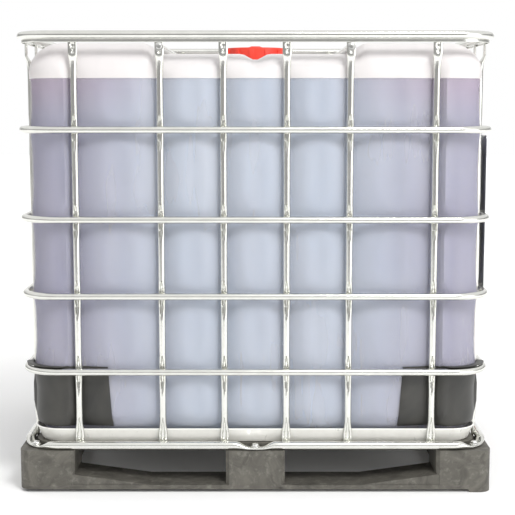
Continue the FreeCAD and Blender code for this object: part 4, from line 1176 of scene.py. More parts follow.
# One sheet: a run of edges round the corner, pulled up into a wall and laid against the bottle.
guard = new_outline("corner_sheet", BOTTLE_INSET, BOTTLE_ROUNDING, GUARD_LOW, 18)
keep_edges(guard)
for side in (Vector((GUARD_END_X, 0, 0)), Vector((0, GUARD_END_Y, 0))):
    pick(guard, "EDGE", everything)
    bpy.ops.mesh.bisect(plane_co=side, plane_no=side, clear_inner=True)
    leave_edit()
pick(guard, "EDGE", lambda a, b: (a - b).length > 0.05)
bpy.ops.mesh.subdivide(number_cuts=13)
leave_edit()
pick(guard, "EDGE", everything)
for rise in GUARD_HEIGHTS:
    bpy.ops.mesh.extrude_region_move(TRANSFORM_OT_translate={"value": (0, 0, rise)})
leave_edit()
guard_top = GUARD_LOW + sum(GUARD_HEIGHTS)
for corner_point in guard.data.vertices:
    rise = (corner_point.co.z - GUARD_LOW) / (guard_top - GUARD_LOW)
    slant = GUARD_LEAN * (0.5 - rise)
    on_long_side = corner_point.co.y > PALLET_WIDTH / 2 - BOTTLE_INSET - 0.01
    on_short_side = corner_point.co.x > PALLET_LENGTH / 2 - BOTTLE_INSET - 0.01
    if on_long_side:
        corner_point.co.x -= slant * max(0.0, 1 - (corner_point.co.x - GUARD_END_X) / GUARD_LEAN_REACH)
    if on_short_side:
        corner_point.co.y -= slant * max(0.0, 1 - (corner_point.co.y - GUARD_END_Y) / GUARD_LEAN_REACH)
    corner_point.co = bottle_point(corner_point.co.copy(), GUARD_CLEARANCE)
pick(
    guard,
    "EDGE",
    lambda a, b: min(a.z, b.z) > guard_top - 1e-4 and min(a.x, b.x) > 0.47 and min(a.y, b.y) > 0.385,
)
bpy.ops.mesh.extrude_region_move(TRANSFORM_OT_translate={"value": (0, 0, 0.0020)})
bpy.ops.transform.resize(value=(1.004, 1.005, 1), center_override=(0, 0, 0))
bpy.ops.mesh.extrude_region_move(TRANSFORM_OT_translate={"value": (0, 0, 0.0006)})
bpy.ops.transform.resize(value=(1.024, 1.028, 1), center_override=(0, 0, 0))
face_outwards()
solid_walls(guard, GUARD_THICKNESS, offset=0.0)
soften_edges(guard, 0.0005, segments=2, angle=50)
guards = {("back", "right"): guard}
flips = (("back", "left", (-1, 1, 1)), ("front", "right", (1, -1, 1)), ("front", "left", (-1, -1, 1)))
for far, side, flip in flips:
    copy = copy_of(guard)
    copy.scale = flip
    bpy.ops.object.transform_apply(location=False, rotation=False, scale=True)
    pick(copy, "FACE", everything)
    face_outwards()
    guards[(far, side)] = copy
for (far, side), sheet in guards.items():
    sheet.name = f"corner_sheet_{far}_{side}"
    sheet.data.name = sheet.name
    hand_over(sheet, "container", "guard_plastic", [f"corner_guard_{far}_{side}"], guard_sheet)

# ---------------------------------------------------------------------------------------------
# Fill cap. A red screw cap of moulded polyethylene over the neck, with twelve lugs round its
# skirt, a sunk face with stiffening ribs and a hole for the vent plug. It seals on a flat gasket.
# ---------------------------------------------------------------------------------------------
CAP_RADIUS = 0.0822
CAP_BORE = 0.079
CAP_LOW = 1.098
CAP_TOP = 1.138
CAP_PLATE_LOW = 1.131
CAP_LUGS = 12
CAP_STEPS_PER_LUG = 10
LUG_STAND = 0.0036
LUG_TURN = -7.0
LUG_HALF_TURN = 4.6
CAP_RIM_WIDTH = 0.011
CAP_STEP = 0.0015
CAP_SUNK = 0.0035
CAP_DISH_WIDTH = 0.044
CAP_HUB_RISE = 0.0032
CAP_RIBS = 6
CAP_RIB_TURN = 14
VENT_HOLE = 0.014


def plastic_finish(name, main, shade, roughness, grain_size, relief_strength):
    """Moulded plastic: one colour, slightly cloudy, with fine moulded grain and uneven gloss."""
    finish = bpy.data.materials.new(name)
    finish.use_nodes = True
    nodes = finish.node_tree.nodes
    links = finish.node_tree.links
    nodes.clear()
    place = nodes.new("ShaderNodeTexCoord")
    place.label = "Place on the moulding"
    place.location = (-1200, 0)
    cloud = nodes.new("ShaderNodeTexNoise")
    cloud.label = "Cloudy pigment"
    cloud.location = (-960, 180)
    cloud.inputs["Scale"].default_value = 16.0
    cloud.inputs["Detail"].default_value = 4.0
    tone = nodes.new("ShaderNodeMix")
    tone.label = "Pigment, full to thin"
    tone.data_type = "RGBA"
    tone.location = (-640, 180)
    tone.inputs[6].default_value = (*shade, 1)
    tone.inputs[7].default_value = (*main, 1)
    grain = nodes.new("ShaderNodeTexNoise")
    grain.label = "Moulded grain"
    grain.location = (-960, -160)
    grain.inputs["Scale"].default_value = grain_size
    grain.inputs["Detail"].default_value = 3.0
    gloss = nodes.new("ShaderNodeMapRange")
    gloss.label = "Gloss over the grain"
    gloss.location = (-640, -60)
    gloss.inputs["To Min"].default_value = roughness * 0.8
    gloss.inputs["To Max"].default_value = roughness * 1.25
    relief = nodes.new("ShaderNodeBump")
    relief.label = "Raise the grain"
    relief.location = (-640, -320)
    relief.inputs["Strength"].default_value = relief_strength
    relief.inputs["Distance"].default_value = 0.0004
    surface = nodes.new("ShaderNodeBsdfPrincipled")
    surface.label = "Moulded plastic"
    surface.location = (-280, 100)
    surface.inputs["Specular IOR Level"].default_value = 0.5
    output = nodes.new("ShaderNodeOutputMaterial")
    output.label = "Out"
    output.location = (20, 100)
    links.new(place.outputs["Object"], cloud.inputs["Vector"])
    links.new(place.outputs["Object"], grain.inputs["Vector"])
    links.new(cloud.outputs["Fac"], tone.inputs[0])
    links.new(grain.outputs["Fac"], gloss.inputs["Value"])
    links.new(grain.outputs["Fac"], relief.inputs["Height"])
    links.new(tone.outputs[2], surface.inputs["Base Color"])
    links.new(gloss.outputs["Result"], surface.inputs["Roughness"])
    links.new(relief.outputs["Normal"], surface.inputs["Normal"])
    links.new(surface.outputs["BSDF"], output.inputs["Surface"])
    return finish


red_plastic = plastic_finish("red_plastic", (0.90, 0.075, 0.042), (0.70, 0.035, 0.022), 0.32, 300.0, 0.10)
rubber = plastic_finish("seal_rubber", (0.045, 0.045, 0.045), (0.025, 0.025, 0.025), 0.65, 420.0, 0.20)

cap_sides = CAP_LUGS * CAP_STEPS_PER_LUG
cap = new_rod("fill_cap_moulding", CAP_RADIUS, (0, 0, CAP_LOW), (0, 0, CAP_TOP), sides=cap_sides)
for height in (CAP_LOW + 0.002, CAP_TOP - 0.005):
    pick(cap, "FACE", everything)
    bpy.ops.mesh.bisect(plane_co=(0, 0, height), plane_no=(0, 0, 1))
    leave_edit()


def on_a_lug(middle, normal):
    if abs(normal.z) > 0.5 or not CAP_LOW + 0.003 < middle.z < CAP_TOP - 0.006:
        return False
    turn = (math.degrees(math.atan2(middle.y, middle.x)) - LUG_TURN) % (360 / CAP_LUGS)
    return min(turn, 360 / CAP_LUGS - turn) < LUG_HALF_TURN


pick(cap, "FACE", on_a_lug)
bpy.ops.mesh.extrude_region_shrink_fatten(TRANSFORM_OT_shrink_fatten={"value": LUG_STAND})
leave_edit()
# The face is sunk inside a raised rim, and the underside is hollow down to the plate.
pick(cap, "FACE", lambda middle, normal: normal.z > 0.9 and middle.z > CAP_TOP - 1e-4)
bpy.ops.mesh.inset(thickness=CAP_RIM_WIDTH)
bpy.ops.mesh.inset(thickness=CAP_STEP)
bpy.ops.transform.translate(value=(0, 0, -CAP_SUNK))
bpy.ops.mesh.inset(thickness=CAP_DISH_WIDTH)
bpy.ops.mesh.inset(thickness=CAP_STEP)
bpy.ops.transform.translate(value=(0, 0, CAP_HUB_RISE))
leave_edit()
pick(cap, "FACE", lambda middle, normal: normal.z < -0.9 and middle.z < CAP_LOW + 1e-4)
bpy.ops.mesh.inset(thickness=CAP_RADIUS - CAP_BORE)
bpy.ops.mesh.extrude_region_move(TRANSFORM_OT_translate={"value": (0, 0, CAP_PLATE_LOW - CAP_LOW)})
leave_edit()
vent_bore = new_rod("vent_bore", VENT_HOLE, (0, 0, CAP_PLATE_LOW - 0.01), (0, 0, CAP_TOP + 0.01))
unite(cap, [vent_bore], "DIFFERENCE")
cap_ribs = []
for number in range(CAP_RIBS):
    rib = new_block("rib", (0.026, -0.0014, CAP_TOP - 0.0045), (0.0705, 0.0014, CAP_TOP - 0.0008))
    rib.rotation_euler = (0, 0, math.radians(360 // CAP_RIBS * number + CAP_RIB_TURN))
    bpy.ops.object.transform_apply(location=False, rotation=True, scale=False)
    cap_ribs.append(rib)
unite(cap, cap_ribs)
soften_edges(cap, 0.0010, segments=2, angle=32)
hand_over(cap, "fill_cap", "red_plastic", ["fill_cap"], red_plastic)
for seal in ("fill_cap_gasket", "vent_plug_seal", "outlet_cap_seal", "outlet_gasket", "valve_seat"):
    keep_solid(seal, rubber)

# ---------------------------------------------------------------------------------------------
# Vent plug. A small plug in the middle of the fill cap, of the same red plastic, with a low bar
# to turn it by and a ring of notches round its head.
# ---------------------------------------------------------------------------------------------
VENT_HEAD = 0.018
VENT_SEAT = 1.140
VENT_TOP = 1.1445
VENT_HEAD_HEIGHT = 0.0025
VENT_STEM = 0.0125
VENT_STEM_LOW = 1.126
NOTCH_TURN = 20
vent_head_top = VENT_SEAT + VENT_HEAD_HEIGHT
vent = new_rod("vent_plug_moulding", VENT_HEAD, (0, 0, VENT_SEAT), (0, 0, vent_head_top), sides=72)


def vent_notch(middle, normal):
    turn = math.degrees(math.atan2(middle.y, middle.x)) % NOTCH_TURN
    return abs(normal.z) < 0.5 and turn < 7


pick(vent, "FACE", vent_notch)
bpy.ops.mesh.extrude_region_shrink_fatten(TRANSFORM_OT_shrink_fatten={"value": -0.0009})
leave_edit()
vent_stem = new_rod("vent_stem", VENT_STEM, (0, 0, VENT_STEM_LOW), (0, 0, VENT_SEAT + 0.001))
grip = new_block("grip", (-0.015, -0.003, VENT_SEAT + 0.001), (0.015, 0.003, VENT_TOP))
pick(grip, "VERT", lambda corner_point: corner_point.z > VENT_TOP - 1e-4)
bpy.ops.transform.resize(value=(0.86, 0.72, 1), center_override=(0, 0, VENT_TOP))
leave_edit()
unite(vent, [vent_stem, grip])
soften_edges(vent, 0.0006, segments=2, angle=32)
hand_over(vent, "vent_plug", "red_plastic", ["vent_plug"], red_plastic)

# ---------------------------------------------------------------------------------------------
# Outlet valve. A butterfly valve of natural polypropylene in the bottle's set-back end: a turned
# casing held on the stub by a black collar, with a black lever and a red dust cap.
# ---------------------------------------------------------------------------------------------
VALVE_START = 0.465
STEM_X = 0.510
FLANGE_RADIUS = 0.036
CASING_RADIUS = 0.033
CHAMBER_RADIUS = 0.039
NOZZLE_RADIUS = 0.0295
NOZZLE_START = 0.548
NOZZLE_END = 0.577
INLET_BORE = 0.026
OUTLET_BORE = 0.025
LINER_OUTER = 0.0283
THREAD_PITCH = 0.0055
THREAD_DEPTH = 0.0016
CAP_FACE = 0.5795


def turned_piece(name, profile, sides=64):
    """A piece turned about the outlet's line from its section: (distance along X, radius) points."""
    bpy.ops.object.select_all(action="DESELECT")
    start, radius = profile[0]
    bpy.ops.mesh.primitive_circle_add(
        vertices=sides, radius=radius, location=(start, 0, OUTLET_HEIGHT), rotation=(0, math.pi / 2, 0)
    )
    piece = set_down(name)
    pick(piece, "EDGE", everything)
    for reach, next_radius in list(profile[1:]) + [profile[0]]:
        bpy.ops.mesh.extrude_region_move(TRANSFORM_OT_translate={"value": (reach - start, 0, 0)})
        share = next_radius / radius
        bpy.ops.transform.resize(value=(1, share, share), center_override=(reach, 0, OUTLET_HEIGHT))
        start, radius = reach, next_radius
    bpy.ops.mesh.select_all(action="SELECT")
    bpy.ops.mesh.remove_doubles(threshold=0.00002)
    bpy.ops.mesh.normals_make_consistent(inside=False)
    leave_edit()
    return piece


black_plastic = plastic_finish(
    "black_plastic", (0.034, 0.034, 0.035), (0.020, 0.020, 0.021), 0.42, 360.0, 0.16
)
casing_profile = [
    (VALVE_START, INLET_BORE),
    (VALVE_START, FLANGE_RADIUS),
    (VALVE_START + 0.007, FLANGE_RADIUS),
    (VALVE_START + 0.007, CASING_RADIUS),
    (STEM_X - 0.020, CASING_RADIUS),
    (STEM_X - 0.017, CHAMBER_RADIUS),
    (STEM_X + 0.017, CHAMBER_RADIUS),
    (STEM_X + 0.020, CASING_RADIUS),
    (NOZZLE_START, CASING_RADIUS),
]
thread_start = NOZZLE_START
while thread_start + THREAD_PITCH < NOZZLE_END:
    casing_profile.append((thread_start + 0.0012, NOZZLE_RADIUS - THREAD_DEPTH))
    casing_profile.append((thread_start + 0.0028, NOZZLE_RADIUS - THREAD_DEPTH))
    casing_profile.append((thread_start + 0.0038, NOZZLE_RADIUS))
    casing_profile.append((thread_start + 0.0050, NOZZLE_RADIUS))
    thread_start += THREAD_PITCH
casing_profile += [
    (NOZZLE_END, NOZZLE_RADIUS - THREAD_DEPTH),
    (NOZZLE_END, OUTLET_BORE),
    (STEM_X + 0.015, OUTLET_BORE),
    (STEM_X + 0.015, LINER_OUTER),
    (STEM_X - 0.015, LINER_OUTER),
    (STEM_X - 0.015, INLET_BORE),
]
casing = turned_piece("valve_casing", casing_profile)
boss = new_rod("boss", 0.013, (STEM_X, 0, OUTLET_HEIGHT + 0.034), (STEM_X, 0, 0.244), sides=40)
fins = []
for half_x, half_y, low, high in ((0.030, 0.0016, 0.030, 0.043), (0.0016, 0.028, 0.026, 0.042)):
    fin_low = (STEM_X - half_x, -half_y, OUTLET_HEIGHT + low)
    fin_high = (STEM_X + half_x, half_y, OUTLET_HEIGHT + high)
    fins.append(new_block("fin", fin_low, fin_high))
unite(casing, [boss] + fins)
stem_bore = new_rod("stem_bore", 0.0052, (STEM_X, 0, OUTLET_HEIGHT), (STEM_X, 0, 0.25), sides=24)
unite(casing, [stem_bore], "DIFFERENCE")
soften_edges(casing, 0.0006, segments=2, angle=38)
natural_plastic = plastic_finish("valve_plastic", (0.80, 0.79, 0.74), (0.70, 0.69, 0.63), 0.38, 280.0, 0.10)
hand_over(casing, "container", "valve_plastic", ["valve_body"], natural_plastic)

keep_solid("valve_disc", natural_plastic)
keep_solid("valve_stem", bolt_steel)
keep_solid("valve_lever_screw", bolt_steel)

# The collar: a threaded ring with eight bars to turn it by.
collar = turned_piece(
    "valve_collar",
    [
        (0.444, 0.0313),
        (0.444, 0.041),
        (0.446, 0.043),
        (0.474, 0.043),
        (0.476, 0.041),
        (0.476, 0.0334),
        (0.4722, 0.0334),
        (0.4722, 0.0364),
        (0.465, 0.0364),
        (0.465, 0.0313),
    ],
    sides=96,
)


def on_a_grip_bar(middle, normal, radius, spacing, half_turn):
    """Whether a face lies on one of the evenly spaced bars round a turned piece."""
    turn = math.degrees(math.atan2(middle.z - OUTLET_HEIGHT, middle.y)) % spacing
    outside = math.hypot(middle.y, middle.z - OUTLET_HEIGHT) > radius
    return outside and abs(normal.x) < 0.5 and min(turn, spacing - turn) < half_turn


pick(collar, "FACE", lambda middle, normal: on_a_grip_bar(middle, normal, 0.042, 45, 5))
bpy.ops.mesh.extrude_region_shrink_fatten(TRANSFORM_OT_shrink_fatten={"value": 0.0028})
leave_edit()
soften_edges(collar, 0.0008, segments=2, angle=30)
hand_over(collar, "container", "black_plastic", ["valve_union_nut"], black_plastic)

# The lever: a flat arm from a round hub, waisted, with a raised rim round it.
LEVER_LOW = 0.245
LEVER_TOP = 0.253
LEVER_LENGTH = 0.084
LEVER_HALF_WIDTH = 0.011
lever = new_rod("lever_arm", 0.015, (STEM_X, 0, LEVER_LOW), (STEM_X, 0, LEVER_TOP), sides=48)
arm = new_block(
    "arm",
    (STEM_X - LEVER_HALF_WIDTH, LEVER_HALF_WIDTH - LEVER_LENGTH, LEVER_LOW),
    (STEM_X + LEVER_HALF_WIDTH, 0, LEVER_TOP),
)
pick(arm, "VERT", lambda corner_point: corner_point.y > -0.001)
bpy.ops.transform.resize(value=(0.78, 1, 1), center_override=(STEM_X, 0, LEVER_LOW))
leave_edit()
end_y = LEVER_HALF_WIDTH - LEVER_LENGTH
arm_end = new_rod(
    "arm_end", LEVER_HALF_WIDTH, (STEM_X, end_y, LEVER_LOW), (STEM_X, end_y, LEVER_TOP), sides=40
)
unite(lever, [arm, arm_end])
pick(lever, "FACE", lambda middle, normal: normal.z > 0.9 and middle.z > LEVER_TOP - 1e-4)
bpy.ops.mesh.dissolve_limited(angle_limit=math.radians(1))
bpy.ops.mesh.inset(thickness=0.0028)
bpy.ops.transform.translate(value=(0, 0, -0.0014))
leave_edit()
stem_hole = new_rod(
    "stem_hole", 0.0051, (STEM_X, 0, LEVER_LOW - 0.01), (STEM_X, 0, LEVER_TOP + 0.01), sides=32
)
unite(lever, [stem_hole], "DIFFERENCE")
soften_edges(lever, 0.0007, segments=2, angle=35)
hand_over(lever, "valve_lever", "black_plastic", ["valve_lever"], black_plastic)

# The dust cap: red, with grip bars round it and a sunk face.
dust_cap = turned_piece(
    "dust_cap",
    [
        (0.553, 0.0302),
        (0.553, 0.0355),
        (0.5825, 0.0355),
        (0.5845, 0.0338),
        (0.5845, 0.0290),
        (0.5830, 0.0278),
        (0.5830, 0.0100),
        (0.5843, 0.0088),
        (0.5843, 0.0004),
        (CAP_FACE, 0.0004),
        (CAP_FACE, 0.0302),
    ],
    sides=96,
)
pick(dust_cap, "FACE", lambda middle, normal: on_a_grip_bar(middle, normal, 0.0352, 30, 4))
bpy.ops.mesh.extrude_region_shrink_fatten(TRANSFORM_OT_shrink_fatten={"value": 0.0018})
leave_edit()
soften_edges(dust_cap, 0.0005, segments=2, angle=30)
hand_over(dust_cap, "outlet_cap", "red_plastic", ["outlet_cap"], red_plastic)

# ---------------------------------------------------------------------------------------------
# Cage rings. Four hoops of galvanised tube round the outside of the uprights, each bent round
# the corners and welded into a loop.
# ---------------------------------------------------------------------------------------------
TUBE_RADIUS = 0.009
RING_INSET = 0.011
RING_CORNER = 0.091
RING_CORNER_STEPS = 16

galvanised = metal_finish(
    "galvanised_steel", (0.78, 0.78, 0.74), (0.72, 0.72, 0.68), 0.22, 45.0, (1, 1, 1), 0.02
)
for number, height in enumerate(RING_HEIGHTS, start=1):
    hoop = new_outline(f"hoop_{number}", RING_INSET, RING_CORNER, height, RING_CORNER_STEPS)
    keep_edges(hoop)
    hoop = wire_to_tube(hoop, TUBE_RADIUS, resolution=5)
    hoop.name = f"hoop_{number}"
    hoop.data.name = hoop.name
    hand_over(hoop, "container", "galvanised_steel", [f"cage_ring_{number}"], galvanised)

# ---------------------------------------------------------------------------------------------
# Top frame. A stouter tube round the top of the cage, with a narrow band of strip steel welded
# under it that the heads of the uprights are fixed to.
# ---------------------------------------------------------------------------------------------
TOP_TUBE_RADIUS = 0.010
TOP_TUBE_HEIGHT = 1.150
BAND_LOW = 1.132
BAND_TOP = 1.1415
BAND_INSET = 0.012
BAND_THICKNESS = 0.0025

top_frame = new_outline("top_frame", RING_INSET, RING_CORNER, TOP_TUBE_HEIGHT, RING_CORNER_STEPS)
keep_edges(top_frame)
top_frame = wire_to_tube(top_frame, TOP_TUBE_RADIUS, resolution=5)
band = new_outline("band", BAND_INSET, RING_CORNER - 0.001, BAND_LOW, RING_CORNER_STEPS)
pick(band, "EDGE", everything)
bpy.ops.mesh.extrude_region_move(TRANSFORM_OT_translate={"value": (0, 0, BAND_TOP - BAND_LOW)})
leave_edit()
pick(band, "FACE", lambda middle, normal: abs(normal.z) > 0.9)
bpy.ops.mesh.delete(type="ONLY_FACE")
face_outwards()
solid_walls(band, BAND_THICKNESS)
soften_edges(band, 0.0008, segments=2, angle=50)
top_frame = join_pieces([top_frame, band], "top_frame")
hand_over(top_frame, "container", "galvanised_steel", ["cage_top_frame"], galvanised)

# ---------------------------------------------------------------------------------------------
# Base ring. The heavy tube at the foot of the cage. It is pressed down flat and drilled in eight
# places, at the middle of each side and at each corner, where bolts hold it to the pallet.
# ---------------------------------------------------------------------------------------------
BASE_RING_LOW = 0.108
BASE_RING_HEIGHT = 0.022
BASE_RING_DEPTH = 0.024
BASE_RING_INSET = 0.013
BASE_RING_CORNER = 0.088
PRESSED_HEIGHT = 0.007
PRESSED_HALF = 0.016
PRESSED_REACH = 0.050
corner_bolt = BASE_RING_CORNER * (1 - math.sqrt(0.5)) + BASE_RING_INSET
bolt_x = PALLET_LENGTH / 2 - corner_bolt
bolt_y = PALLET_WIDTH / 2 - corner_bolt
BOLT_PLACES = [(sx * bolt_x, sy * bolt_y) for sx in (-1, 1) for sy in (-1, 1)]
BOLT_PLACES += [(0, sy * (PALLET_WIDTH / 2 - BASE_RING_INSET)) for sy in (-1, 1)]
BOLT_PLACES += [(sx * (PALLET_LENGTH / 2 - BASE_RING_INSET), 0) for sx in (-1, 1)]

base_ring = new_outline(
    "base_ring", BASE_RING_INSET, BASE_RING_CORNER, BASE_RING_LOW + BASE_RING_HEIGHT / 2, 20
)
pick(base_ring, "EDGE", lambda a, b: (a - b).length > 0.2)
bpy.ops.mesh.subdivide(number_cuts=5)
leave_edit()
pick(base_ring, "EDGE", lambda a, b: (a - b).length > 0.1)
bpy.ops.mesh.subdivide(number_cuts=19)
leave_edit()
keep_edges(base_ring)
base_ring = wire_to_tube(base_ring, BASE_RING_HEIGHT / 2, resolution=6)
base_ring.name = "base_ring"
base_ring.data.name = "base_ring"
for corner_point in base_ring.data.vertices:
    place = corner_point.co
    near = min(math.hypot(place.x - x, place.y - y) for x, y in BOLT_PLACES)
    if near < PRESSED_REACH:
        full = ease((near - PRESSED_HALF) / (PRESSED_REACH - PRESSED_HALF))
        rise = (place.z - BASE_RING_LOW) / BASE_RING_HEIGHT
        flat = PRESSED_HEIGHT * ease(rise * 1.15)
        place.z = BASE_RING_LOW + flat + (rise * BASE_RING_HEIGHT - flat) * full
bpy.ops.object.select_all(action="DESELECT")
hand_over(base_ring, "container", "galvanised_steel", ["cage_base_ring"], galvanised)

# ---------------------------------------------------------------------------------------------
# Cage bolts. Zinc plated hexagon bolts with wide washers, one in each pressed flat of the base
# ring, down into the pallet.
# ---------------------------------------------------------------------------------------------
WASHER_RADIUS = 0.011
BOLT_HEAD_RADIUS = 0.0088
bolt_seat = BASE_RING_LOW + PRESSED_HEIGHT


def hexagon_bolt(name):
    """A bolt head with a domed, chamfered top on its washer, at the origin."""
    washer = new_rod("washer", WASHER_RADIUS, (0, 0, 0), (0, 0, 0.002), sides=32)
    head = new_rod("head", BOLT_HEAD_RADIUS, (0, 0, 0.0016), (0, 0, 0.0075), sides=6)
    pick(head, "FACE", lambda middle, normal: normal.z > 0.9)
    bpy.ops.mesh.inset(thickness=0.0015)
    bpy.ops.transform.translate(value=(0, 0, 0.0012))
    leave_edit()
    soften_edges(washer, 0.0005, segments=2, angle=40)
    soften_edges(head, 0.0006, segments=2, angle=25)
    return join_pieces([washer, head], name)


cage_bolt = hexagon_bolt("cage_bolt")
shank = new_rod("shank", 0.005, (0, 0, -0.055), (0, 0, 0.001), sides=24)
cage_bolt = join_pieces([cage_bolt, shank], "cage_bolt")
bolt_set = []
for number, (x, y) in enumerate(BOLT_PLACES):
    copy = copy_of(cage_bolt)
    copy.rotation_euler = (0, 0, math.radians(17 * number))
    copy.location = (x, y, bolt_seat)
    bpy.ops.object.transform_apply(location=True, rotation=True, scale=True)
    bolt_set.append(copy)
bpy.data.objects.remove(cage_bolt)
bolt_set = join_pieces(bolt_set, "cage_bolt_set")
hand_over(bolt_set, "container", "bolt_steel", ["cage_bolts"], bolt_steel)

# ---------------------------------------------------------------------------------------------
# Uprights. Six galvanised tubes on each side, inside the rings, pressed in where they cross a
# ring, flattened at head and foot, and bent out to the band. At the valve they stop short.
# ---------------------------------------------------------------------------------------------
UPRIGHT_INSET = 0.0291
HEAD_INSET = 0.0176
FOOT_INSET = 0.0279
UPRIGHT_SIDES = 32
HEAD_TOP = 1.1395
FOOT_LOW = 0.112
DENT_HALF_WIDTH = 0.0058
DENT_DEPTH = 0.0070
DENT_ABOVE = 0.040
DENT_BELOW = 0.048


def section_of(height, foot):
    """Half width, half depth and inset of an upright's section at a height."""
    width, depth, inset = TUBE_RADIUS, TUBE_RADIUS, UPRIGHT_INSET
    head = ease((height - 1.070) / 0.040)
    width += (0.0114 - width) * head
    depth += (0.0030 - depth) * head
    inset += (HEAD_INSET - inset) * ease((height - 1.074) / 0.032)
    if foot:
        base = ease((0.186 - height) / 0.050)
        width += (0.0112 - width) * base
        depth += (0.0029 - depth) * base
        inset += (FOOT_INSET - inset) * base
    for ring in RING_HEIGHTS:
        if ring - DENT_BELOW < height < ring + DENT_ABOVE:
            middle = ring + (DENT_ABOVE - DENT_BELOW) / 2
            across = (height - middle) / ((DENT_ABOVE + DENT_BELOW) / 2)
            width += 0.0009 * (1 - across * across)
    return width, depth, inset


def dent_at(side, height, foot):
    """How deep the front of an upright is pressed in at a place across and up it."""
    for ring in RING_HEIGHTS:
        if ring - DENT_BELOW < height < ring + DENT_ABOVE:
            middle = ring + (DENT_ABOVE - DENT_BELOW) / 2
            across = (height - middle) / ((DENT_ABOVE + DENT_BELOW) / 2)
            half_width = DENT_HALF_WIDTH * math.sqrt(max(0.0, 1 - across * across)) ** 1.3
            return DENT_DEPTH * ease((half_width - abs(side)) / 0.0030)
    if foot and height < 0.190:
        half_width = 0.0060 * math.sqrt(min(1.0, (0.190 - height) / 0.050))
        return min(0.0040, 0.25 * (height - 0.100)) * ease((half_width - abs(side)) / 0.0026)
    if 1.118 < height < 1.130:
        return 0.0030 * ease((0.0056 - abs(side)) / 0.0020)
    if 1.104 < height < 1.116:
        from_middle = math.hypot(side, height - 1.110)
        return 0.0024 * ease((0.0052 - from_middle) / 0.0030)
    return 0.0


def build_upright(name, foot):
    """One upright at the middle of the front, its sections pulled up from foot to head."""
    heights = [FOOT_LOW, 0.113] if foot else [RING_HEIGHTS[-1] - TUBE_RADIUS]
    fine = [(ring - DENT_BELOW, ring + DENT_ABOVE) for ring in RING_HEIGHTS] + [(1.068, 1.1385)]
    if foot:
        fine.append((0.114, 0.192))
    height = heights[-1]
    while height < HEAD_TOP - 0.002:
        inside = any(low - 0.004 < height < high for low, high in fine)
        height += 0.0035 if inside else 0.022
        if not inside:
            upcoming = [low - 0.004 for low, high in fine if heights[-1] < low - 0.004 < height]
            height = min(upcoming + [height])
        heights.append(min(height, HEAD_TOP))
    bpy.ops.object.select_all(action="DESELECT")
    bpy.ops.mesh.primitive_circle_add(
        vertices=UPRIGHT_SIDES, radius=1.0, fill_type="NGON", location=(0, 0, heights[0])
    )
    piece = set_down(name)
    pick(piece, "FACE", everything)
    for low, high in zip(heights, heights[1:]):
        bpy.ops.mesh.extrude_region_move(TRANSFORM_OT_translate={"value": (0, 0, high - low)})
    face_outwards()
    for corner_point in piece.data.vertices:
        place = corner_point.co
        width, depth, inset = section_of(place.z, foot)
        front = place.y < -0.05
        place.x *= width
        place.y = place.y * depth + inset - PALLET_WIDTH / 2
        if front:
            place.y += min(dent_at(place.x, place.z, foot), 1.7 * depth)
    soften_edges(piece, 0.0006, segments=2, angle=70)
    bpy.ops.object.shade_smooth_by_angle(angle=math.radians(62))
    return piece


full_upright = build_upright("full_upright", True)
short_upright = build_upright("short_upright", False)
SIDES = {
    "front": (0, LONG_SIDE_PLACES, PALLET_WIDTH),
    "right": (90, SHORT_SIDE_PLACES, PALLET_LENGTH),
    "back": (180, LONG_SIDE_PLACES, PALLET_WIDTH),
    "left": (270, SHORT_SIDE_PLACES, PALLET_LENGTH),
}


def upright_node(side, along, place):
    """The CAD node of the upright at a place along one side."""
    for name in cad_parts:
        if name.startswith(f"upright_{side}_"):
            low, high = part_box(name)
            if abs((low[along] + high[along]) / 2 - place) < 0.005:
                return name


for side, (turn, places, across) in SIDES.items():
    angle = math.radians(turn)
    along = 0 if side in ("front", "back") else 1
    outward = math.copysign((across - PALLET_WIDTH) / 2, math.sin(angle))
    for place in places:
        node = upright_node(side, along, place)
        stops_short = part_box(node)[0].z > 0.2
        tube = copy_of(short_upright if stops_short else full_upright)
        tube.rotation_euler = (0, 0, angle)
        tube.location = (outward, place, 0) if along else (place, 0, 0)
        bpy.ops.object.transform_apply(location=True, rotation=True, scale=True)
        tube.name = node.replace("upright", "upright_tube")
        tube.data.name = tube.name
        hand_over(tube, "container", "galvanised_steel", [node], galvanised)
bpy.data.objects.remove(full_upright)
bpy.data.objects.remove(short_upright)

# ---------------------------------------------------------------------------------------------
# Crossbars. Two tubes over the bottle, from the front of the cage to the back, flattened a
# little at their ends and held by a round-headed bolt and washer through the upright's head.
# ---------------------------------------------------------------------------------------------
CROSSBAR_X = 0.2357
CROSSBAR_HEIGHT = 1.121
CROSSBAR_END = 0.4792


def rod_along_y(name, radius, x, start, end, sides):
    """A round bar from front to back at the crossbars' height."""
    return new_rod(name, radius, (x, start, CROSSBAR_HEIGHT), (x, end, CROSSBAR_HEIGHT), "Y", sides)


for name, x in (("crossbar_left", -CROSSBAR_X), ("crossbar_right", CROSSBAR_X)):
    bar = rod_along_y(name + "_tube", TUBE_RADIUS, x, -CROSSBAR_END, CROSSBAR_END, 28)
    for end in (-1, 1):
        for reach in (0.380, 0.400, 0.420, 0.440, 0.455, 0.468):
            pick(bar, "FACE", everything)
            bpy.ops.mesh.bisect(plane_co=(0, end * reach, 0), plane_no=(0, 1, 0))
            leave_edit()
    for corner_point in bar.data.vertices:
        pressed = ease((abs(corner_point.co.y) - 0.395) / 0.06)
        corner_point.co.x = x + (corner_point.co.x - x) * (1 - 0.35 * pressed)
    soften_edges(bar, 0.0008, segments=2, angle=60)
    bpy.ops.object.shade_smooth_by_angle(angle=math.radians(50))
    hand_over(bar, "container", "galvanised_steel", [name], galvanised)

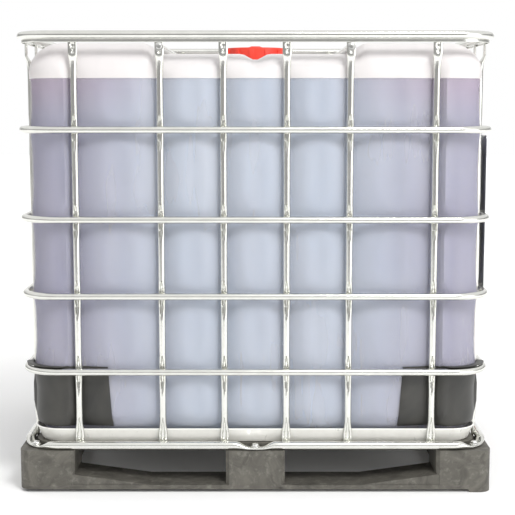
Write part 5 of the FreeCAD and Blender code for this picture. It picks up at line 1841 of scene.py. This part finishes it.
# Their bolts: a wide washer, a domed round head, and the shank in the bar's threaded plug.
head_face = PALLET_WIDTH / 2 - HEAD_INSET + 0.003
screw_set = []
for x in (-CROSSBAR_X, CROSSBAR_X):
    for end in (-1, 1):
        washer = rod_along_y("washer", 0.0106, x, end * (head_face - 0.001), end * (head_face + 0.0014), 40)
        soften_edges(washer, 0.0005, segments=2, angle=40)
        head = rod_along_y("head", 0.0068, x, end * (head_face + 0.001), end * (head_face + 0.0048), 32)
        soften_edges(head, 0.0024, segments=4, angle=40)
        shank = rod_along_y("shank", 0.0039, x, end * (head_face - 0.024), end * (head_face + 0.002), 20)
        screw_set += [washer, head, shank]
screw_set = join_pieces(screw_set, "crossbar_bolt_set")
hand_over(screw_set, "container", "bolt_steel", ["crossbar_bolts"], bolt_steel)

# ---------------------------------------------------------------------------------------------
# Label plate. A plain sheet plate on the outlet side for the owner's label, with rounded corners
# and turned edges, held on two rings by sprung clips.
# ---------------------------------------------------------------------------------------------
plate_low, plate_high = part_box("label_plate")
plate = new_block("plate_sheet", plate_low, plate_high)
pick(plate, "EDGE", lambda a, b: abs(a.x - b.x) > 0.0005)
bpy.ops.mesh.bevel(offset=0.010, segments=5, affect="EDGES")
leave_edit()
pick(plate, "FACE", lambda middle, normal: normal.x > 0.9)
bpy.ops.mesh.inset(thickness=0.006)
bpy.ops.mesh.inset(thickness=0.0015)
bpy.ops.transform.translate(value=(-0.0005, 0, 0))
leave_edit()
soften_edges(plate, 0.0003, segments=2, angle=30)
plate_metal = metal_finish(
    "plate_metal", (0.86, 0.87, 0.87), (0.78, 0.79, 0.79), 0.34, 30.0, (1, 30, 1), 0.06
)
hand_over(plate, "container", "plate_metal", ["label_plate"], plate_metal)
keep_solid("label_plate_clips", galvanised)

# ---------------------------------------------------------------------------------------------
# Stage. A pale floor that glows a little away from the container, a surround that is white
# behind and overhead and grey in front, a tall bright window at the right, and one soft lamp.
# ---------------------------------------------------------------------------------------------
bpy.ops.object.select_all(action="DESELECT")
bpy.ops.mesh.primitive_plane_add(size=24, location=(0, 9, 0))
floor = set_down("studio_floor")
floor_paint = bpy.data.materials.new("studio_floor")
floor_paint.use_nodes = True
floor_nodes = floor_paint.node_tree.nodes
floor_links = floor_paint.node_tree.links
floor_nodes.clear()
paint = floor_nodes.new("ShaderNodeBsdfPrincipled")
paint.label = "Pale floor"
paint.location = (-300, 0)
paint.inputs["Base Color"].default_value = (0.95, 0.95, 0.945, 1)
paint.inputs["Roughness"].default_value = 0.9
paint.inputs["Emission Color"].default_value = (1.0, 0.99, 0.97, 1)
spot = floor_nodes.new("ShaderNodeTexCoord")
spot.label = "Place on the floor"
spot.location = (-1100, -100)
away = floor_nodes.new("ShaderNodeVectorMath")
away.label = "Distance from the container"
away.operation = "DISTANCE"
away.location = (-900, -100)
away.inputs[1].default_value = (0, 0, 0)
glow = floor_nodes.new("ShaderNodeMapRange")
glow.label = "Brighter away from it"
glow.interpolation_type = "SMOOTHSTEP"
glow.location = (-660, -100)
glow.inputs["From Min"].default_value = 0.75
glow.inputs["From Max"].default_value = 2.4
glow.inputs["To Min"].default_value = 0.03
glow.inputs["To Max"].default_value = 0.30
floor_links.new(spot.outputs["Object"], away.inputs[0])
floor_links.new(away.outputs["Value"], glow.inputs["Value"])
floor_links.new(glow.outputs["Result"], paint.inputs["Emission Strength"])
paint_out = floor_nodes.new("ShaderNodeOutputMaterial")
paint_out.label = "Out"
paint_out.location = (0, 0)
floor_links.new(paint.outputs["BSDF"], paint_out.inputs["Surface"])
floor.data.materials.append(floor_paint)

world = bpy.data.worlds.new("studio")
bpy.context.scene.world = world
world.use_nodes = True
sky = world.node_tree.nodes
sky_links = world.node_tree.links
sky.clear()
heading = sky.new("ShaderNodeTexCoord")
heading.label = "Direction"
heading.location = (-1100, 0)
axes = sky.new("ShaderNodeSeparateXYZ")
axes.label = "Across, along, up"
axes.location = (-900, 0)
behind = sky.new("ShaderNodeMapRange")
behind.label = "Grey at the front, white behind"
behind.interpolation_type = "SMOOTHSTEP"
behind.location = (-660, 120)
behind.inputs["From Min"].default_value = 0.70
behind.inputs["From Max"].default_value = 0.93
behind.inputs["To Min"].default_value = 0.38
behind.inputs["To Max"].default_value = 1.0
above = sky.new("ShaderNodeMapRange")
above.label = "White overhead"
above.interpolation_type = "SMOOTHSTEP"
above.location = (-660, -160)
above.inputs["From Min"].default_value = 0.06
above.inputs["From Max"].default_value = 0.36
above.inputs["To Min"].default_value = 0.0
above.inputs["To Max"].default_value = 0.95
toward = sky.new("ShaderNodeVectorMath")
toward.label = "Toward the window at the right"
toward.operation = "DOT_PRODUCT"
toward.location = (-900, -420)
toward.inputs[1].default_value = (0.80, -0.60, 0.0)
window = sky.new("ShaderNodeMapRange")
window.label = "Tall window"
window.interpolation_type = "SMOOTHSTEP"
window.location = (-660, -420)
window.inputs["From Min"].default_value = 0.90
window.inputs["From Max"].default_value = 0.97
window.inputs["To Max"].default_value = 2.6
lit = sky.new("ShaderNodeMath")
lit.label = "With the window's light"
lit.operation = "ADD"
lit.location = (-300, -160)
brighter = sky.new("ShaderNodeMath")
brighter.label = "The brighter of the two"
brighter.operation = "MAXIMUM"
brighter.location = (-420, 0)
surround = sky.new("ShaderNodeBackground")
surround.label = "White surround"
surround.inputs["Color"].default_value = (1, 1, 1, 1)
surround.location = (-200, 0)
sky_out = sky.new("ShaderNodeOutputWorld")
sky_out.label = "Out"
sky_out.location = (0, 0)
sky_links.new(heading.outputs["Generated"], axes.inputs["Vector"])
sky_links.new(axes.outputs["Y"], behind.inputs["Value"])
sky_links.new(axes.outputs["Z"], above.inputs["Value"])
sky_links.new(behind.outputs["Result"], brighter.inputs[0])
sky_links.new(above.outputs["Result"], brighter.inputs[1])
sky_links.new(heading.outputs["Generated"], toward.inputs[0])
sky_links.new(toward.outputs["Value"], window.inputs["Value"])
sky_links.new(brighter.outputs["Value"], lit.inputs[0])
sky_links.new(window.outputs["Result"], lit.inputs[1])
sky_links.new(lit.outputs["Value"], surround.inputs["Strength"])
sky_links.new(surround.outputs["Background"], sky_out.inputs["Surface"])

LAMP_PLACE = Vector((1.5, -3.6, 4.4))
LAMP_TARGET = Vector((0, 0, 0.7))
bpy.ops.object.light_add(type="AREA", location=LAMP_PLACE)
lamp = bpy.context.object
lamp.name = "key_lamp"
lamp.data.shape = "SQUARE"
lamp.data.size = 1.4
lamp.data.energy = 150
lamp.rotation_euler = (LAMP_TARGET - LAMP_PLACE).to_track_quat("-Z", "Y").to_euler()

CAMERA_TILT = 7.011
bpy.ops.object.camera_add(
    location=(0.0055, -3.5423, 0.9766), rotation=(math.radians(90 - CAMERA_TILT), 0, 0)
)
camera = bpy.context.object
camera.name = "camera"
camera.data.lens = 86.14
camera.data.sensor_width = 36
bpy.context.scene.camera = camera
bpy.context.scene.view_settings.view_transform = "Standard"
